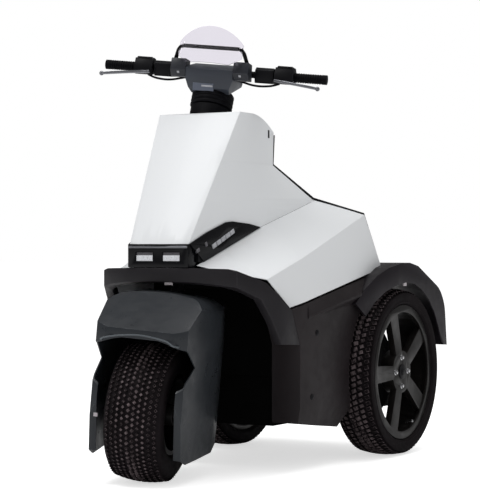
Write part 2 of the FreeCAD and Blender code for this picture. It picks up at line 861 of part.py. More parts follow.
lever_left.Placement = FreeCAD.Placement(V(), droop, V(0, brake_inner.number, S.bar_z.number - 16))
keep(steer(fused("grip_pair", grip_left, mirrored("grip_right", grip_left))), "grips")
keep(steer(fused("pod_pair", pods_left, mirrored("pods_right", pods_left))), "switch_pods")
keep(steer(fused("lever_pair", lever_left, mirrored("lever_right", lever_left))), "brake_levers")

console_foot_y = S.console_half_width - 18
console_reach = S.console_half_width + 16
console_form = prism("console_form", "XZ_Plane", [[
    (S.bar_x - 70, S.bar_z - 40), (S.bar_x + 38, S.bar_z - 74), (S.bar_x + 66, S.bar_z - 58),
    (S.bar_x + 76, S.bar_z + 4), (S.bar_x + 60, S.bar_z + 12), (S.bar_x - 40, S.bar_z + 28),
]], -console_reach, console_reach)
console_sides = prism("console_sides", "YZ_Plane", [[
    (-console_foot_y, S.bar_z - 80), (console_foot_y, S.bar_z - 80),
    (S.console_half_width, S.bar_z - 30), (S.console_half_width, S.bar_z + 30),
    (-S.console_half_width, S.bar_z + 30), (-S.console_half_width, S.bar_z - 30),
]], S.bar_x - 120, S.bar_x + 120)
console = cut("console_body", common("console_mass", console_form, console_sides),
              cylinder("console_bar_hole", S.bar_radius + S.seat_gap, console_reach * 2,
                       across(S.bar_x, -console_reach, S.bar_z)),
              along_axis("console_stem_hole", S.stem_radius + S.seat_gap, -100, 170),
              along_axis("console_boot_room", S.boot_radius + S.seat_gap, -100,
                         100 + S.boot_height - S.boot_drop + S.seat_gap))
keep(steer(console), "console")
pod_profile = [
    (S.bar_x + 16, S.bar_z - 26), (S.bar_x + 64, S.bar_z - 26), (S.bar_x + 80, S.bar_z - 4),
    (S.bar_x + 72, S.bar_z + 34), (S.bar_x + 26, S.bar_z + 30),
]
pod_solids = [prism("console_pod_left", "XZ_Plane", [pod_profile], S.console_half_width + S.seat_gap,
                    S.console_half_width + S.console_pod_width)]
pod_solids.append(mirrored("console_pod_right", pod_solids[0]))
keep(steer(fused("console_pod_pair", *pod_solids)), "console_pods")

# Body shell forms


def nose_section(body, level, front_x, front_y, rear_x, rear_y, inset, number):
    """One level of the nose: a bowed face, flat flanks and a straight back."""
    sketch = place_sketch(body, "XY_Plane", level, f"nose_level_{number}")
    front_x, front_y = as_dim(front_x) - inset, as_dim(front_y) - inset
    rear_x, rear_y = as_dim(rear_x), as_dim(rear_y) - inset
    add_loop(sketch, [
        (front_x, -front_y, S.nose_face_bow),
        (front_x, front_y),
        (rear_x, rear_y),
        (rear_x, -rear_y),
    ])
    return sketch


def nose_form(label, inset, back=0):
    """The nose as a full mass through five levels."""
    body = new_body(label)
    fall = S.nose_top_z - S.nose_foot_z

    def front_at(level):
        share = (S.nose_top_z - level) / fall
        return (between(S.nose_top_front_x, S.nose_foot_front_x, share),
                between(S.nose_top_half_width, S.nose_foot_half_width, share))

    top = S.nose_top_z - (S.panel_wall if inset else 0)
    levels = [
        (S.nose_skirt_z - (60 if inset else 0), S.elbow_x - back, S.elbow_half_width + 12),
        (S.elbow_z, S.elbow_x - back, S.elbow_half_width),
        (S.waist_z, S.waist_rear_x - back, S.nose_rear_half_width + 4),
        (top, S.nose_top_rear_x - back, S.nose_rear_half_width),
    ]
    sketches = []
    for number, (level, rear_x, rear_y) in enumerate(levels):
        front_x, front_y = front_at(as_dim(level))
        sketches.append(nose_section(body, level, front_x, front_y, rear_x, rear_y, inset, number))
    loft = body.newObject("PartDesign::AdditiveLoft", label + "_loft")
    loft.Profile = sketches[0]
    loft.Sections = sketches[1:]
    loft.Ruled = True
    DOC.recompute()
    return body


def nose_brow(name, inset):
    """What the nose's rounded top falls short of its flat top, over its front lip and towards the rider."""
    top = S.nose_top_z - inset
    front, rear, high = S.nose_top_front_x + 60, S.nose_top_rear_x - 60, S.nose_top_z + 60
    return prism(name, "XZ_Plane", [[
        (front, top - S.nose_lip * 1.5),
        (S.nose_top_front_x + 4, top),
        (S.nose_brow_x, top, S.nose_brow_bow),
        (S.nose_top_rear_x, S.nose_rear_top_z - inset),
        (rear, S.nose_rear_top_z - inset - 50),
        (rear, high),
        (front, high),
    ]], -S.nose_top_half_width * 2, S.nose_top_half_width * 2)


def shoulder_section(body, at_x, valley, crease, foot_y, foot_z, inset, number):
    """One station of a shoulder: its top runs on under the nose, past the valley edge."""
    sketch = place_sketch(body, "YZ_Plane", at_x, f"shoulder_station_{number}")
    valley_y, valley_z = valley
    crease_y, crease_z = crease
    spare = 60 if inset else 0
    climb = (valley_z - crease_z) / (crease_y - valley_y)
    hidden_y = valley_y - S.valley_overlap - spare
    hidden_z = valley_z + climb * (S.valley_overlap + spare)
    add_loop(sketch, [
        (hidden_y, foot_z - spare),
        (hidden_y, hidden_z - inset * 1.2),
        (crease_y - inset, crease_z - inset * 1.2),
        (foot_y - inset, foot_z - spare),
    ])
    return sketch


def shoulder_form(label, inset):
    """A shoulder as a full mass through four stations."""
    body = new_body(label)
    slope = (S.elbow_z - S.valley_mid_z) / (S.valley_mid_x - S.elbow_x)
    widening = (S.elbow_half_width - S.valley_mid_y) / (S.valley_mid_x - S.elbow_x)
    crease_slope = (S.crease_rear_z - S.crease_front_z) / (S.crease_front_x - S.crease_rear_x)
    tail_x = S.shoulder_tail_x - 40
    tail_run = S.elbow_x - tail_x
    mid_crease = S.crease_front_z + crease_slope * (S.crease_front_x - S.valley_mid_x)
    share = (S.crease_front_x - S.valley_mid_x) / (S.valley_front_x - S.valley_mid_x)
    tip_x = S.valley_front_x + 60
    foot = S.shoulder_point_z - 60
    stations = [
        (tail_x, (S.elbow_half_width + widening * tail_run, S.elbow_z + slope * tail_run),
         (S.body_half_width, S.crease_rear_z + crease_slope * (S.crease_rear_x - tail_x)),
         S.body_half_width + 10),
        (S.valley_mid_x, (S.valley_mid_y, S.valley_mid_z), (S.body_half_width - 6, mid_crease),
         S.body_half_width + 4),
        (S.crease_front_x, (between(S.valley_mid_y, S.valley_front_y, share),
                            between(S.valley_mid_z, S.valley_front_z, share)),
         (S.crease_front_y, S.crease_front_z), S.crease_front_y + 6),
        (tip_x, (S.valley_front_y - 8, S.valley_front_z - 22),
         (S.valley_front_y + 59, S.valley_front_z - 46), S.valley_front_y + 60),
    ]
    sketches = []
    for number, (at_x, valley, crease, foot_y) in enumerate(stations):
        sketches.append(shoulder_section(body, at_x, valley, crease, foot_y, foot, inset, number))
    loft = body.newObject("PartDesign::AdditiveLoft", label + "_loft")
    loft.Profile = sketches[0]
    loft.Sections = sketches[1:]
    loft.Ruled = True
    DOC.recompute()
    return body


wide = S.fender_half_width + 40
shoulder_side = [
    (S.elbow_x, S.elbow_z + 4),
    (S.crease_rear_x, S.crease_rear_z),
    (S.shoulder_tail_x, S.shoulder_tail_z),
    (S.shoulder_point_x, S.shoulder_point_z),
    (S.crease_front_x, S.crease_front_z - 3),
    (S.valley_front_x, S.crease_front_z + 22),
    (S.valley_front_x + 50, S.valley_front_z),
    (S.valley_front_x + 50, S.elbow_z + 4),
]
shoulder_mass = shoulder_form("shoulder_mass", 0)
shoulder_hollow = shoulder_form("shoulder_hollow", S.panel_wall)
nose_mass = cut("nose_mass", nose_form("nose_outer", 0), nose_brow("brow", 0))
nose_hollow = cut("nose_hollow", nose_form("nose_inner", S.panel_wall, back=20),
                  nose_brow("inner_brow", S.panel_wall))
shoulder_trimmer = prism("shoulder_trimmer", "XZ_Plane", [shoulder_side], 0, wide)
shoulder_solid = common("shoulder_trimmed", shoulder_mass, shoulder_trimmer)
shoulder_shell = cut("shoulder_shell", shoulder_solid, shoulder_hollow, nose_mass)
keep(shoulder_shell, "shoulder_panel_left")
shoulder_shell_right = mirrored("shoulder_mirror", shoulder_shell)
keep(shoulder_shell_right, "shoulder_panel_right")

shoulder_full_right = mirrored("shoulder_mass_right", shoulder_mass)
shoulder_solid_right = mirrored("shoulder_solid_right", shoulder_solid)
lamp_bay = block("lamp_bay", (S.nose_foot_front_x - 60, S.nose_foot_front_x + 90), (-wide, wide),
                 (S.nose_skirt_z - 10, S.nose_foot_z))
nose_low_cut = block("nose_low_cut", (S.elbow_x - 30, S.nose_foot_front_x + 90), (-wide, wide),
                     (S.nose_skirt_z - 10, S.valley_front_z))
neck_opening = along_axis("neck_opening", S.stem_radius + S.head_tube_wall + 6, -200, 300)
nose_shell = cut("nose_shell", nose_mass, nose_hollow, shoulder_mass, shoulder_full_right,
                 lamp_bay, nose_low_cut, neck_opening)
keep(nose_shell, "nose_fairing")

# Dark vents on the nose's flanks, each with a light bar

vent_outline = [
    (S.nose_foot_front_x, S.nose_foot_z),
    (S.valley_front_x, S.valley_front_z),
    (S.valley_mid_x, S.valley_mid_z),
    (S.valley_mid_x + 60, S.valley_mid_z + 10),
    (S.valley_mid_x + 150, S.valley_mid_z + 17),
    (S.valley_mid_x + 182, S.valley_mid_z + 14),
    (S.valley_mid_x + 280, S.valley_mid_z - 20),
]
light_outline = [
    (S.valley_mid_x + 232, S.valley_mid_z - 66),
    (S.valley_mid_x + 140, S.valley_mid_z - 18),
    (S.valley_mid_x + 140, S.valley_mid_z - 6),
    (S.valley_mid_x + 236, S.valley_mid_z - 54),
]
proud_mass = nose_form("proud_mass", -S.vent_depth)
vent_plate = common("vent_plate", proud_mass, prism("vent_side", "XZ_Plane", [vent_outline], 0, wide))
light_plate = common("light_plate", proud_mass, prism("light_side", "XZ_Plane", [light_outline], 0, wide))
vent = cut("vent", vent_plate, nose_mass, shoulder_mass, light_plate)
light = cut("light", light_plate, nose_mass)
vent_pair = fused("vents", vent, mirrored("vent_right", vent))
keep(vent_pair, "side_vents")
keep(fused("lights", light, mirrored("light_right", light)), "side_light_bars")

# Inner cowl facing the rider: knee panel, side walls and the shoulders' closing walls

knee_seam_z = S.elbow_z - 14
knee_line = [
    (S.nose_top_rear_x, S.nose_rear_top_z - S.panel_wall),
    (S.waist_rear_x, S.waist_z),
    (S.elbow_x, S.elbow_z),
    (S.elbow_x, knee_seam_z - 2),
]
knee_band = knee_line + [(x + S.knee_wall, z) for x, z in reversed(knee_line)]
knee_foot = [
    (S.elbow_x, knee_seam_z), (S.knee_foot_x, S.deck_z), (S.knee_foot_x + S.knee_wall, S.deck_z),
    (S.elbow_x + S.knee_wall, knee_seam_z),
]
inner_wall_y = S.elbow_half_width
flank_room = S.panel_wall + 6
knee_face_left = [
    (S.elbow_half_width - flank_room, knee_seam_z - 2),
    (S.elbow_half_width - flank_room, S.elbow_z),
    (S.nose_rear_half_width + 4 - flank_room, S.waist_z),
    (S.nose_rear_half_width - flank_room, S.nose_rear_top_z - S.panel_wall),
]
knee_face = knee_face_left + [(-y, z) for y, z in reversed(knee_face_left)]
knee_upper = common(
    "knee_upper",
    prism("knee_band_form", "XZ_Plane", [knee_band], -wide, wide),
    prism("knee_face_form", "YZ_Plane", [knee_face], S.elbow_x - 40, S.nose_top_front_x))
knee_lower = prism("knee_lower", "XZ_Plane", [knee_foot], -(inner_wall_y + 2), inner_wall_y + 2)
side_wall_outline = [
    (S.knee_foot_x, S.deck_z),
    (S.elbow_x, knee_seam_z),
    (S.crease_rear_x + 4, S.crease_rear_z - 8),
    (S.shoulder_tail_x + 4, S.shoulder_tail_z - 2),
    (S.shoulder_tail_x + 4, S.deck_z),
]
closing_line = [
    (S.elbow_x, knee_seam_z),
    (S.crease_rear_x, S.crease_rear_z - 2),
    (S.shoulder_tail_x, S.shoulder_tail_z),
]
closing_band = closing_line + [(x + S.knee_wall, z - S.cowl_wall) for x, z in reversed(closing_line)]
skin_room = S.panel_wall * 2.5
closing_plan = [
    (S.elbow_x - skin_room, inner_wall_y),
    (S.crease_rear_x, S.body_half_width - skin_room),
    (S.shoulder_tail_x, S.body_half_width - skin_room),
    (S.shoulder_tail_x, inner_wall_y),
]
cowl_wall_left = prism("cowl_wall_left", "XZ_Plane", [side_wall_outline], inner_wall_y,
                       inner_wall_y + S.cowl_wall)
closing_left = common("closing_left",
                      prism("closing_side", "XZ_Plane", [closing_band], inner_wall_y, S.body_half_width),
                      prism("closing_top", "XY_Plane", [closing_plan], S.deck_z, S.elbow_z))
keep(fused("cowl_all", knee_upper, knee_lower, cowl_wall_left, mirrored("cowl_wall_right", cowl_wall_left),
           closing_left, mirrored("closing_right", closing_left)), "inner_cowl")

# Black bead along the white shell's rear edge


def rod_chain(points, radius):
    """A round bead through the points, with ball corners."""
    solid = None
    for start, end in zip(points, points[1:]):
        piece = Part.makeCylinder(radius, (end - start).Length, start, end - start)
        solid = piece if solid is None else solid.fuse(piece)
    for corner in points[1:-1]:
        solid = solid.fuse(Part.makeSphere(radius, corner))
    return solid


glass_low = S.bar_z.number + 50
glass_foot = glass_low - 28
glass_x = S.bar_x.number + 112
glass_centre_x = glass_x - S.glass_radius.number
ring = Part.makeCylinder(S.glass_radius.number, 400, V(glass_centre_x, 0, glass_foot), V(0, 0, 1))
ring = ring.cut(Part.makeCylinder(
    (S.glass_radius - S.glass_thickness).number, 400, V(glass_centre_x, 0, glass_foot), V(0, 0, 1)))
half = S.glass_half_width.number
shoulder_z = glass_low + (S.glass_top_z.number - glass_low) * 0.5
edge = Part.Arc(V(0, half, shoulder_z), V(0, 0, S.glass_top_z.number), V(0, -half, shoulder_z)).toShape()
glass_foot_y = S.console_half_width.number - 8
sides = Part.makePolygon([
    V(0, -half, shoulder_z), V(0, -half, glass_low), V(0, -glass_foot_y, glass_foot),
    V(0, glass_foot_y, glass_foot), V(0, half, glass_low), V(0, half, shoulder_z)])
outline = Part.Wire([edge] + sides.Edges)
glass_mass = Part.Face(outline).extrude(V(600, 0, 0))
glass = ring.common(glass_mass)
glass.rotate(V(glass_x, 0, glass_low), V(0, 1, 0), -S.glass_lean.number)
frame_x, frame_y, frame_top = S.bar_x.number + 71, half, S.bar_z.number + 75
frame_left = [
    V(frame_x - 13, frame_y + 14, S.bar_z.number + 31),
    V(frame_x - 4, frame_y + 4, frame_top - 14),
    V(frame_x - 1, frame_y - 4, frame_top - 4),
    V(frame_x, frame_y - 15, frame_top),
]
frame_points = frame_left + [V(p.x, -p.y, p.z) for p in reversed(frame_left)]

frame_tube = rod_chain(frame_points, S.frame_tube_radius.number)
clamp = rod_chain(frame_points, (S.frame_tube_radius + S.seat_gap).number)
keep(steer(shaped("glass_shape", glass.cut(clamp))), "windshield")
keep(steer(cut("frame_seated", shaped("frame_shape", frame_tube), *pod_solids)), "windshield_frame")


def set_back(line, distance):
    """The line moved to the right of its travel by the given distance, with mitred corners."""
    normals = []
    for (x0, z0), (x1, z1) in zip(line, line[1:]):
        size = math.hypot(x1 - x0, z1 - z0)
        normals.append(((z1 - z0) / size, -(x1 - x0) / size))
    moved = []
    for index, (x, z) in enumerate(line):
        before = normals[max(index - 1, 0)]
        after = normals[min(index, len(normals) - 1)]
        scale = distance / (1 + before[0] * after[0] + before[1] * after[1])
        moved.append((x + (before[0] + after[0]) * scale, z + (before[1] + after[1]) * scale))
    return moved


bead = S.trim_radius.number
rear_edge = [
    (S.nose_top_rear_x.number, S.nose_rear_top_z.number - bead),
    (S.waist_rear_x.number, S.waist_z.number),
    (S.elbow_x.number, S.elbow_z.number + 4),
    (S.crease_rear_x.number, S.crease_rear_z.number),
    (S.shoulder_tail_x.number, S.shoulder_tail_z.number + bead),
]
bead_y = [
    S.nose_rear_half_width.number - bead, S.nose_rear_half_width.number, S.elbow_half_width.number - bead,
    S.body_half_width.number - 2 * bead, S.body_half_width.number - bead,
]
trim_points = [V(x, y, z) for (x, z), y in zip(set_back(rear_edge, bead + S.seat_gap.number), bead_y)]
trim_left = shaped("trim_bead", rod_chain(trim_points, bead))
keep(fused("trim", trim_left, mirrored("trim_right", trim_left)), "edge_trim")

# Bumper: a band that follows the nose in plan and arches down each side

bumper_plan_left = [
    (S.bumper_front_x, as_dim(0)),
    (S.bumper_front_x - 10, as_dim(120)),
    (S.bumper_front_x - 35, as_dim(190)),
    (S.bumper_front_x - 73, as_dim(250)),
    (S.bumper_front_x - 150, as_dim(292)),
    (S.shoulder_point_x + 60, S.body_half_width - 10),
    (S.shoulder_point_x, S.body_half_width),
    (S.arch_corner_x - 30, S.body_half_width),
]


def band_plan(depth):
    """The band seen from above, of the given depth, inside the bumper's outline."""
    outer = bumper_plan_left + [(x, -y) for x, y in reversed(bumper_plan_left[1:])]
    inner_left = [
        (S.bumper_front_x - depth, as_dim(0)),
        (S.bumper_front_x - 10 - depth, as_dim(116)),
        (S.bumper_front_x - 38 - depth, as_dim(180)),
        (S.bumper_front_x - 82 - depth * 0.7, 250 - depth * 0.7),
        (S.bumper_front_x - 155 - depth * 0.4, 292 - depth),
        (S.shoulder_point_x + 55, S.body_half_width - 10 - depth),
        (S.shoulder_point_x - 2, S.body_half_width - depth),
        (S.arch_corner_x - 30, S.body_half_width - depth),
    ]
    return outer[:8] + list(reversed(inner_left)) + [(x, -y) for x, y in inner_left[1:]] + outer[8:]


bumper_side = [
    (S.bumper_front_x + 20, S.bumper_top_z),
    (S.bumper_front_x - 60, S.bumper_top_z - 4),
    (S.crease_front_x, S.crease_front_z - 12),
    (S.shoulder_point_x, S.shoulder_point_z - 6),
    (S.arch_corner_x, S.arch_corner_z),
    (S.arch_corner_x + 108, S.arch_corner_z + 6),
    (S.arch_corner_x + 146, S.arch_corner_z + 84),
    (S.crease_front_x + 20, S.bumper_bottom_z - 62),
    (S.bumper_front_x - 75, S.bumper_bottom_z - 24),
    (S.bumper_front_x + 20, S.bumper_bottom_z),
]
bumper_ring = prism("bumper_ring", "XY_Plane", [band_plan(S.bumper_depth)], 0, S.bumper_top_z + 20)
bumper_trim = prism("bumper_trim", "XZ_Plane", [bumper_side], -wide, wide)
bumper = cut("bumper_body", common("bumper_band", bumper_ring, bumper_trim), shoulder_solid,
             shoulder_solid_right)
keep(bumper, "front_bumper")

# Lamp strip and lamps under the nose

strip_back = S.bumper_front_x - 70
strip = block("strip", (strip_back, S.bumper_front_x - 6), (-(S.nose_foot_half_width + 2), S.nose_foot_half_width + 2),
              (S.bumper_top_z + S.seat_gap, S.nose_foot_z - S.seat_gap))
lamp_half, lamp_y, lamp_z = 33, 50, S.bumper_top_z + 34
lamp_pockets = []
lamp_parts = []
for side in (-1, 1):
    low_y, high_y = side * lamp_y - lamp_half, side * lamp_y + lamp_half
    lamp_pockets.append(block(f"lamp_pocket_{side + 1}", (S.bumper_front_x - 26, S.bumper_front_x + 10),
                              (low_y - 0.3, high_y + 0.3), (lamp_z - 15.3, lamp_z + 15.3)))
    lamp_parts.append(block(f"lamp_{side + 1}", (S.bumper_front_x - 25.7, S.bumper_front_x - 9),
                            (low_y, high_y), (lamp_z - 15, lamp_z + 15)))
keep(cut("strip_body", strip, *lamp_pockets, shoulder_solid, shoulder_solid_right, vent_pair), "lamp_strip")
keep(fused("lamps_pair", *lamp_parts), "headlamps")

# Lower body


def arc_points(centre_x, centre_z, radius, start, end, steps):
    """Points on an arc about a wheel centre, angles in degrees from +X."""
    points = []
    for step in range(steps + 1):
        angle = math.radians(start + (end - start) * step / steps)
        points.append((centre_x + radius * math.cos(angle), centre_z + radius * math.sin(angle)))
    return points


arch_radius = S.rear_tyre_radius + S.tyre_gap
panel_front_x = S.arch_corner_x - S.seat_gap
panel_rear_x = S.rear_axle_x + arch_radius + 60
panel_outline = [
    (S.shoulder_point_x - S.seat_gap, S.shoulder_point_z - 7),
    (panel_front_x, S.arch_corner_z),
    (panel_front_x, S.sill_front_z),
    (panel_rear_x, S.sill_rear_z),
] + arc_points(S.rear_axle_x, S.rear_tyre_radius, arch_radius, -20, 62, 6) + [
    (S.shoulder_tail_x + 2, S.shoulder_tail_z - 10),
]
panel_hollow_outline = [
    (S.shoulder_point_x - 7, S.shoulder_point_z - 16),
    (panel_front_x - 6, S.arch_corner_z),
    (panel_front_x - 6, S.sill_front_z + 6),
    (panel_rear_x + 4, S.sill_rear_z + 6),
] + arc_points(S.rear_axle_x, S.rear_tyre_radius, arch_radius + 6, -18, 60, 6) + [
    (S.shoulder_tail_x + 40, S.shoulder_tail_z - 26),
]


def sill_bevel(name, inset):
    """What the lower edge's slanted face leaves off, measured in from the panel's outer face."""
    face = S.body_half_width - inset
    low = S.sill_rear_z - 10
    lean = (S.sill_chamfer_z - low) / (S.sill_chamfer_z - S.sill_rear_z)
    return prism(name, "YZ_Plane", [[
        (face, S.sill_chamfer_z),
        (face - S.sill_chamfer * lean, low),
        (S.body_half_width + 20, low),
        (S.body_half_width + 20, S.sill_chamfer_z),
    ]], S.rear_axle_x, S.arch_corner_x + 20)


def lip_section(body, at_x, width, drop, number):
    """One end of the flared lip under the white shell, in a plane across the vehicle."""
    sketch = place_sketch(body, "YZ_Plane", at_x, f"lip_section_{number}")
    run = (S.shoulder_point_x - at_x) / (S.shoulder_point_x - S.shoulder_tail_x)
    top = between(S.shoulder_point_z, S.shoulder_tail_z, run) - 10
    face, root_y = S.body_half_width, S.body_half_width - S.panel_wall
    add_loop(sketch, [
        (root_y, top),
        (face, top),
        (face + width, top - drop),
        (face + width, top - drop - S.lip_edge),
        (face, top - drop - S.lip_edge - width),
        (root_y, top - drop - S.lip_edge - width),
    ])
    return sketch


lip = new_body("lip")
lip_ends = [
    lip_section(lip, S.lip_front_x, S.lip_edge / 2, S.lip_height, 0),
    lip_section(lip, S.lip_rear_x, S.lip_width, S.lip_height, 1),
]
lip_loft = lip.newObject("PartDesign::AdditiveLoft", "lip_loft")
lip_loft.Profile = lip_ends[0]
lip_loft.Sections = lip_ends[1:]
lip_loft.Ruled = True
DOC.recompute()
panel_mass = cut("panel_mass",
                 prism("panel_block", "XZ_Plane", [panel_outline], S.tub_half_width + S.seat_gap,
                       S.body_half_width),
                 sill_bevel("sill_bevel", 0))
panel_hollow = cut("panel_hollow",
                   prism("panel_room", "XZ_Plane", [panel_hollow_outline], S.tub_half_width - 10,
                         S.body_half_width - S.panel_wall),
                   sill_bevel("inner_bevel", S.panel_wall))
side_panel = fused("side_panel_form", cut("side_panel", panel_mass, panel_hollow, shoulder_solid, bumper),
                   cut("lip_seated", lip, shoulder_solid, bumper))
side_panel_right = mirrored("side_mirror", side_panel)
keep(side_panel, "side_panel_left")
keep(side_panel_right, "side_panel_right")

tub_outer = block("tub_outer", (S.tub_rear_x, S.tub_front_x), (-S.tub_half_width, S.tub_half_width),
                  (S.tub_bottom_z, S.deck_z - S.deck_thickness))
tub_inner = block("tub_inner", (S.tub_rear_x + S.tub_wall, S.tub_front_x - S.tub_wall),
                  (S.tub_wall - S.tub_half_width, S.tub_half_width - S.tub_wall),
                  (S.tub_bottom_z + S.tub_wall, S.deck_z))
keep(cut("tub", tub_outer, tub_inner), "chassis_tub")
keep(block("battery", (S.rear_axle_x + 200, S.tub_front_x - 60),
           (-S.battery_half_width, S.battery_half_width),
           (S.tub_bottom_z + S.tub_wall, S.deck_z - S.deck_thickness - S.battery_headroom)), "battery_pack")
deck_rear = S.tub_rear_x
keep(block("deck_plate", (deck_rear, S.tub_front_x), (-S.tub_half_width, S.tub_half_width),
           (S.deck_z - S.deck_thickness, S.deck_z)), "deck")
keep(block("mat", (deck_rear + 16, S.elbow_x - 20), (-(S.elbow_half_width - 6), S.elbow_half_width - 6),
           (S.deck_z, S.deck_z + S.mat_thickness)), "deck_mat")

tip_y = rear_wheel_y + S.rear_tyre_width / 4
stubs = [
    cylinder("stub_" + label, S.rear_axle_radius, tip_y - S.tub_half_width,
             across(S.rear_axle_x, start, S.rear_tyre_radius))
    for label, start in (("left", S.tub_half_width), ("right", -tip_y))
]
keep(fused("stub_pair", *stubs), "rear_axles")

fender_outer_arc = arc_points(S.rear_axle_x, S.rear_tyre_radius, arch_radius + S.fender_height, 40, 105, 6)
fender_inner_arc = arc_points(S.rear_axle_x, S.rear_tyre_radius, arch_radius, 165, 40, 10)
fender_outline = fender_outer_arc + [
    (S.fender_tail_x + 24, S.fender_tail_top_z),
    (S.fender_tail_x, S.fender_tail_foot_z),
] + fender_inner_arc
fender_inner_y = inner_wall_y + S.cowl_wall + S.seat_gap


def fender_plan(name, inset):
    """The fender's room seen from above: its flank draws in to the side panel in front."""
    front_x = S.rear_axle_x + arch_radius + 20
    front_y = S.body_half_width + S.lip_edge - inset
    outer_y = S.fender_half_width - inset
    tail_x = S.fender_tail_x - 20
    return prism(name, "XY_Plane", [[
        (tail_x, inner_wall_y - 10),
        (front_x, inner_wall_y - 10),
        (front_x, front_y),
        (S.fender_shoulder_x, outer_y),
        (tail_x, outer_y),
    ]], 0, S.elbow_z)


fender_mass = common("fender_mass", fender_plan("fender_plan_outer", 0),
                     prism("fender_block", "XZ_Plane", [fender_outline], fender_inner_y,
                           S.fender_half_width))
hollow_outer_arc = arc_points(S.rear_axle_x, S.rear_tyre_radius,
                              arch_radius + S.fender_height - S.fender_wall, 38, 105, 6)
hollow_outline = hollow_outer_arc + [
    (S.fender_tail_x + 24 + S.fender_wall, S.fender_tail_top_z - S.fender_wall),
    (S.fender_tail_x + S.fender_wall, S.fender_tail_foot_z - 10),
] + arc_points(S.rear_axle_x, S.rear_tyre_radius, arch_radius - 20, 165, 38, 10)
fender_hollow = common("fender_hollow", fender_plan("fender_plan_inner", S.fender_wall),
                       prism("fender_room", "XZ_Plane", [hollow_outline],
                             inner_wall_y, S.fender_half_width - S.fender_wall))
fender = cut("fender", fender_mass, fender_hollow, shoulder_solid, panel_mass, lip, trim_left)
keep(fender, "rear_fender_left")
keep(mirrored("fender_mirror", fender), "rear_fender_right")
lamp_top = 0.16
lamp_foot = 0.62
tail_line = [
    (between(S.fender_tail_x + 24, S.fender_tail_x, share), between(S.fender_tail_top_z, S.fender_tail_foot_z, share))
    for share in (lamp_top, lamp_foot)
]
tail_outline = [(x - S.seat_gap, z) for x, z in tail_line] + [(x - 9, z) for x, z in reversed(tail_line)]
tail_left = prism("tail_left", "XZ_Plane", [tail_outline], S.fender_half_width - 130, S.fender_half_width - 20)
keep(fused("tails", tail_left, mirrored("tail_right", tail_left)), "tail_lamps")
keep(block("door", (S.tub_rear_x - 6, S.tub_rear_x - S.seat_gap), (-S.tub_half_width, S.tub_half_width),
           (S.tub_bottom_z, S.deck_z)), "rear_door")

# Head tube and its mast inside the nose

tube_radius = S.stem_radius + S.head_tube_wall
tube = along_axis("head_outer", tube_radius, head_low, S.head_tube_reach)
collar_height = S.boot_radius * 2
collar = cut("neck_collar", along_axis("collar_mass", boot_core_radius, head_top - collar_height, collar_height),
             block("collar_room", (S.neck_x - 200, S.neck_x + 200), (-S.boot_radius * 2, S.boot_radius * 2),
                   (S.waist_z - 100, S.nose_top_z + S.seat_gap)))
tube_bore = along_axis("head_bore", S.stem_radius + S.axle_clearance, head_low - 5, S.head_tube_reach + 10)
liner_line = [
    (S.tub_front_x + S.seat_gap, S.deck_z + S.seat_gap),
    (S.tub_front_x + S.seat_gap, S.liner_z - 50),
    (S.tub_front_x + 56, S.liner_z),
    (S.bumper_front_x - S.bumper_depth - S.seat_gap, S.liner_z),
]
liner_band = liner_line + [
    (liner_line[3][0], S.liner_z + S.cowl_wall),
    (S.tub_front_x + 54, S.liner_z + S.cowl_wall),
    (S.tub_front_x + S.seat_gap - S.cowl_wall, S.liner_z - 48),
    (S.tub_front_x + S.seat_gap - S.cowl_wall, S.deck_z + S.seat_gap),
]
liner_plan = [
    (S.tub_front_x - 40, S.tub_half_width - 2),
    (S.shoulder_point_x + 20, S.tub_half_width + 40),
    (S.bumper_front_x - 130, S.tub_half_width - 10),
    (S.bumper_front_x - 60, as_dim(150)),
    (S.bumper_front_x - 30, as_dim(90)),
]
liner_plan = liner_plan + [(x, -y) for x, y in reversed(liner_plan)]
liner = cut("liner_body", common("liner_form",
                                 prism("liner_side", "XZ_Plane", [liner_band], -wide, wide),
                                 prism("liner_top", "XY_Plane", [liner_plan], 0, S.liner_z + 40)),
            shoulder_solid, shoulder_solid_right, bumper, side_panel, side_panel_right,
            along_axis("liner_hole", tube_radius + S.seat_gap, head_low - 30, 200))
keep(liner, "wheel_well_liner")
rake_slope = math.tan(rake)
mast_foot_z = S.liner_z + 16
mast = prism("mast", "XZ_Plane", [[
    (S.tub_front_x - 60, S.deck_z),
    (S.tub_front_x - 10, S.deck_z),
    (S.tub_front_x - 10, S.liner_z - 44),
    (S.tub_front_x + 50, mast_foot_z),
    (S.neck_x + (S.neck_z - mast_foot_z) * rake_slope, mast_foot_z),
    (S.neck_x + 330 * rake_slope, S.neck_z - 330),
    (S.tub_front_x - 60, S.liner_z + 30),
]], -20, 20)
keep(cut("head", fused("head_mass", tube, collar, mast), tube_bore), "head_tube")

# Write the sub-parts


def check_and_write():
    """Stop on a failed object or a broken shape, then write one file per sub-part."""
    DOC.recompute()
    for obj in DOC.Objects:
        for word in ("Invalid", "Error"):
            if word in obj.State:
                raise RuntimeError(f"{obj.Name} ({obj.Label}) failed: {obj.State}")
    os.makedirs("parts", exist_ok=True)
    for label, obj in NODES.items():
        shape = obj.Shape
        if shape.isNull() or not shape.isValid() or not shape.Solids:
            raise RuntimeError(f"{label} has no valid solid")
        shape.exportStep(f"parts/{label}.step")
        box = shape.BoundBox
        print(f"{label:22s} solids {len(shape.Solids):2d} faces {len(shape.Faces):4d} "
              f"volume {shape.Volume / 1000:9.1f} cm3  "
              f"x {box.XMin:7.1f} {box.XMax:7.1f}  y {box.YMin:7.1f} {box.YMax:7.1f}  "
              f"z {box.ZMin:7.1f} {box.ZMax:7.1f}")


check_and_write()
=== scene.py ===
"""Finishes and small pieces for the stand-up three-wheeler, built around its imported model."""

import json
import math

import bmesh
import bpy
from mathutils import Matrix, Vector
from mathutils.bvhtree import BVHTree
from mathutils.geometry import interpolate_bezier


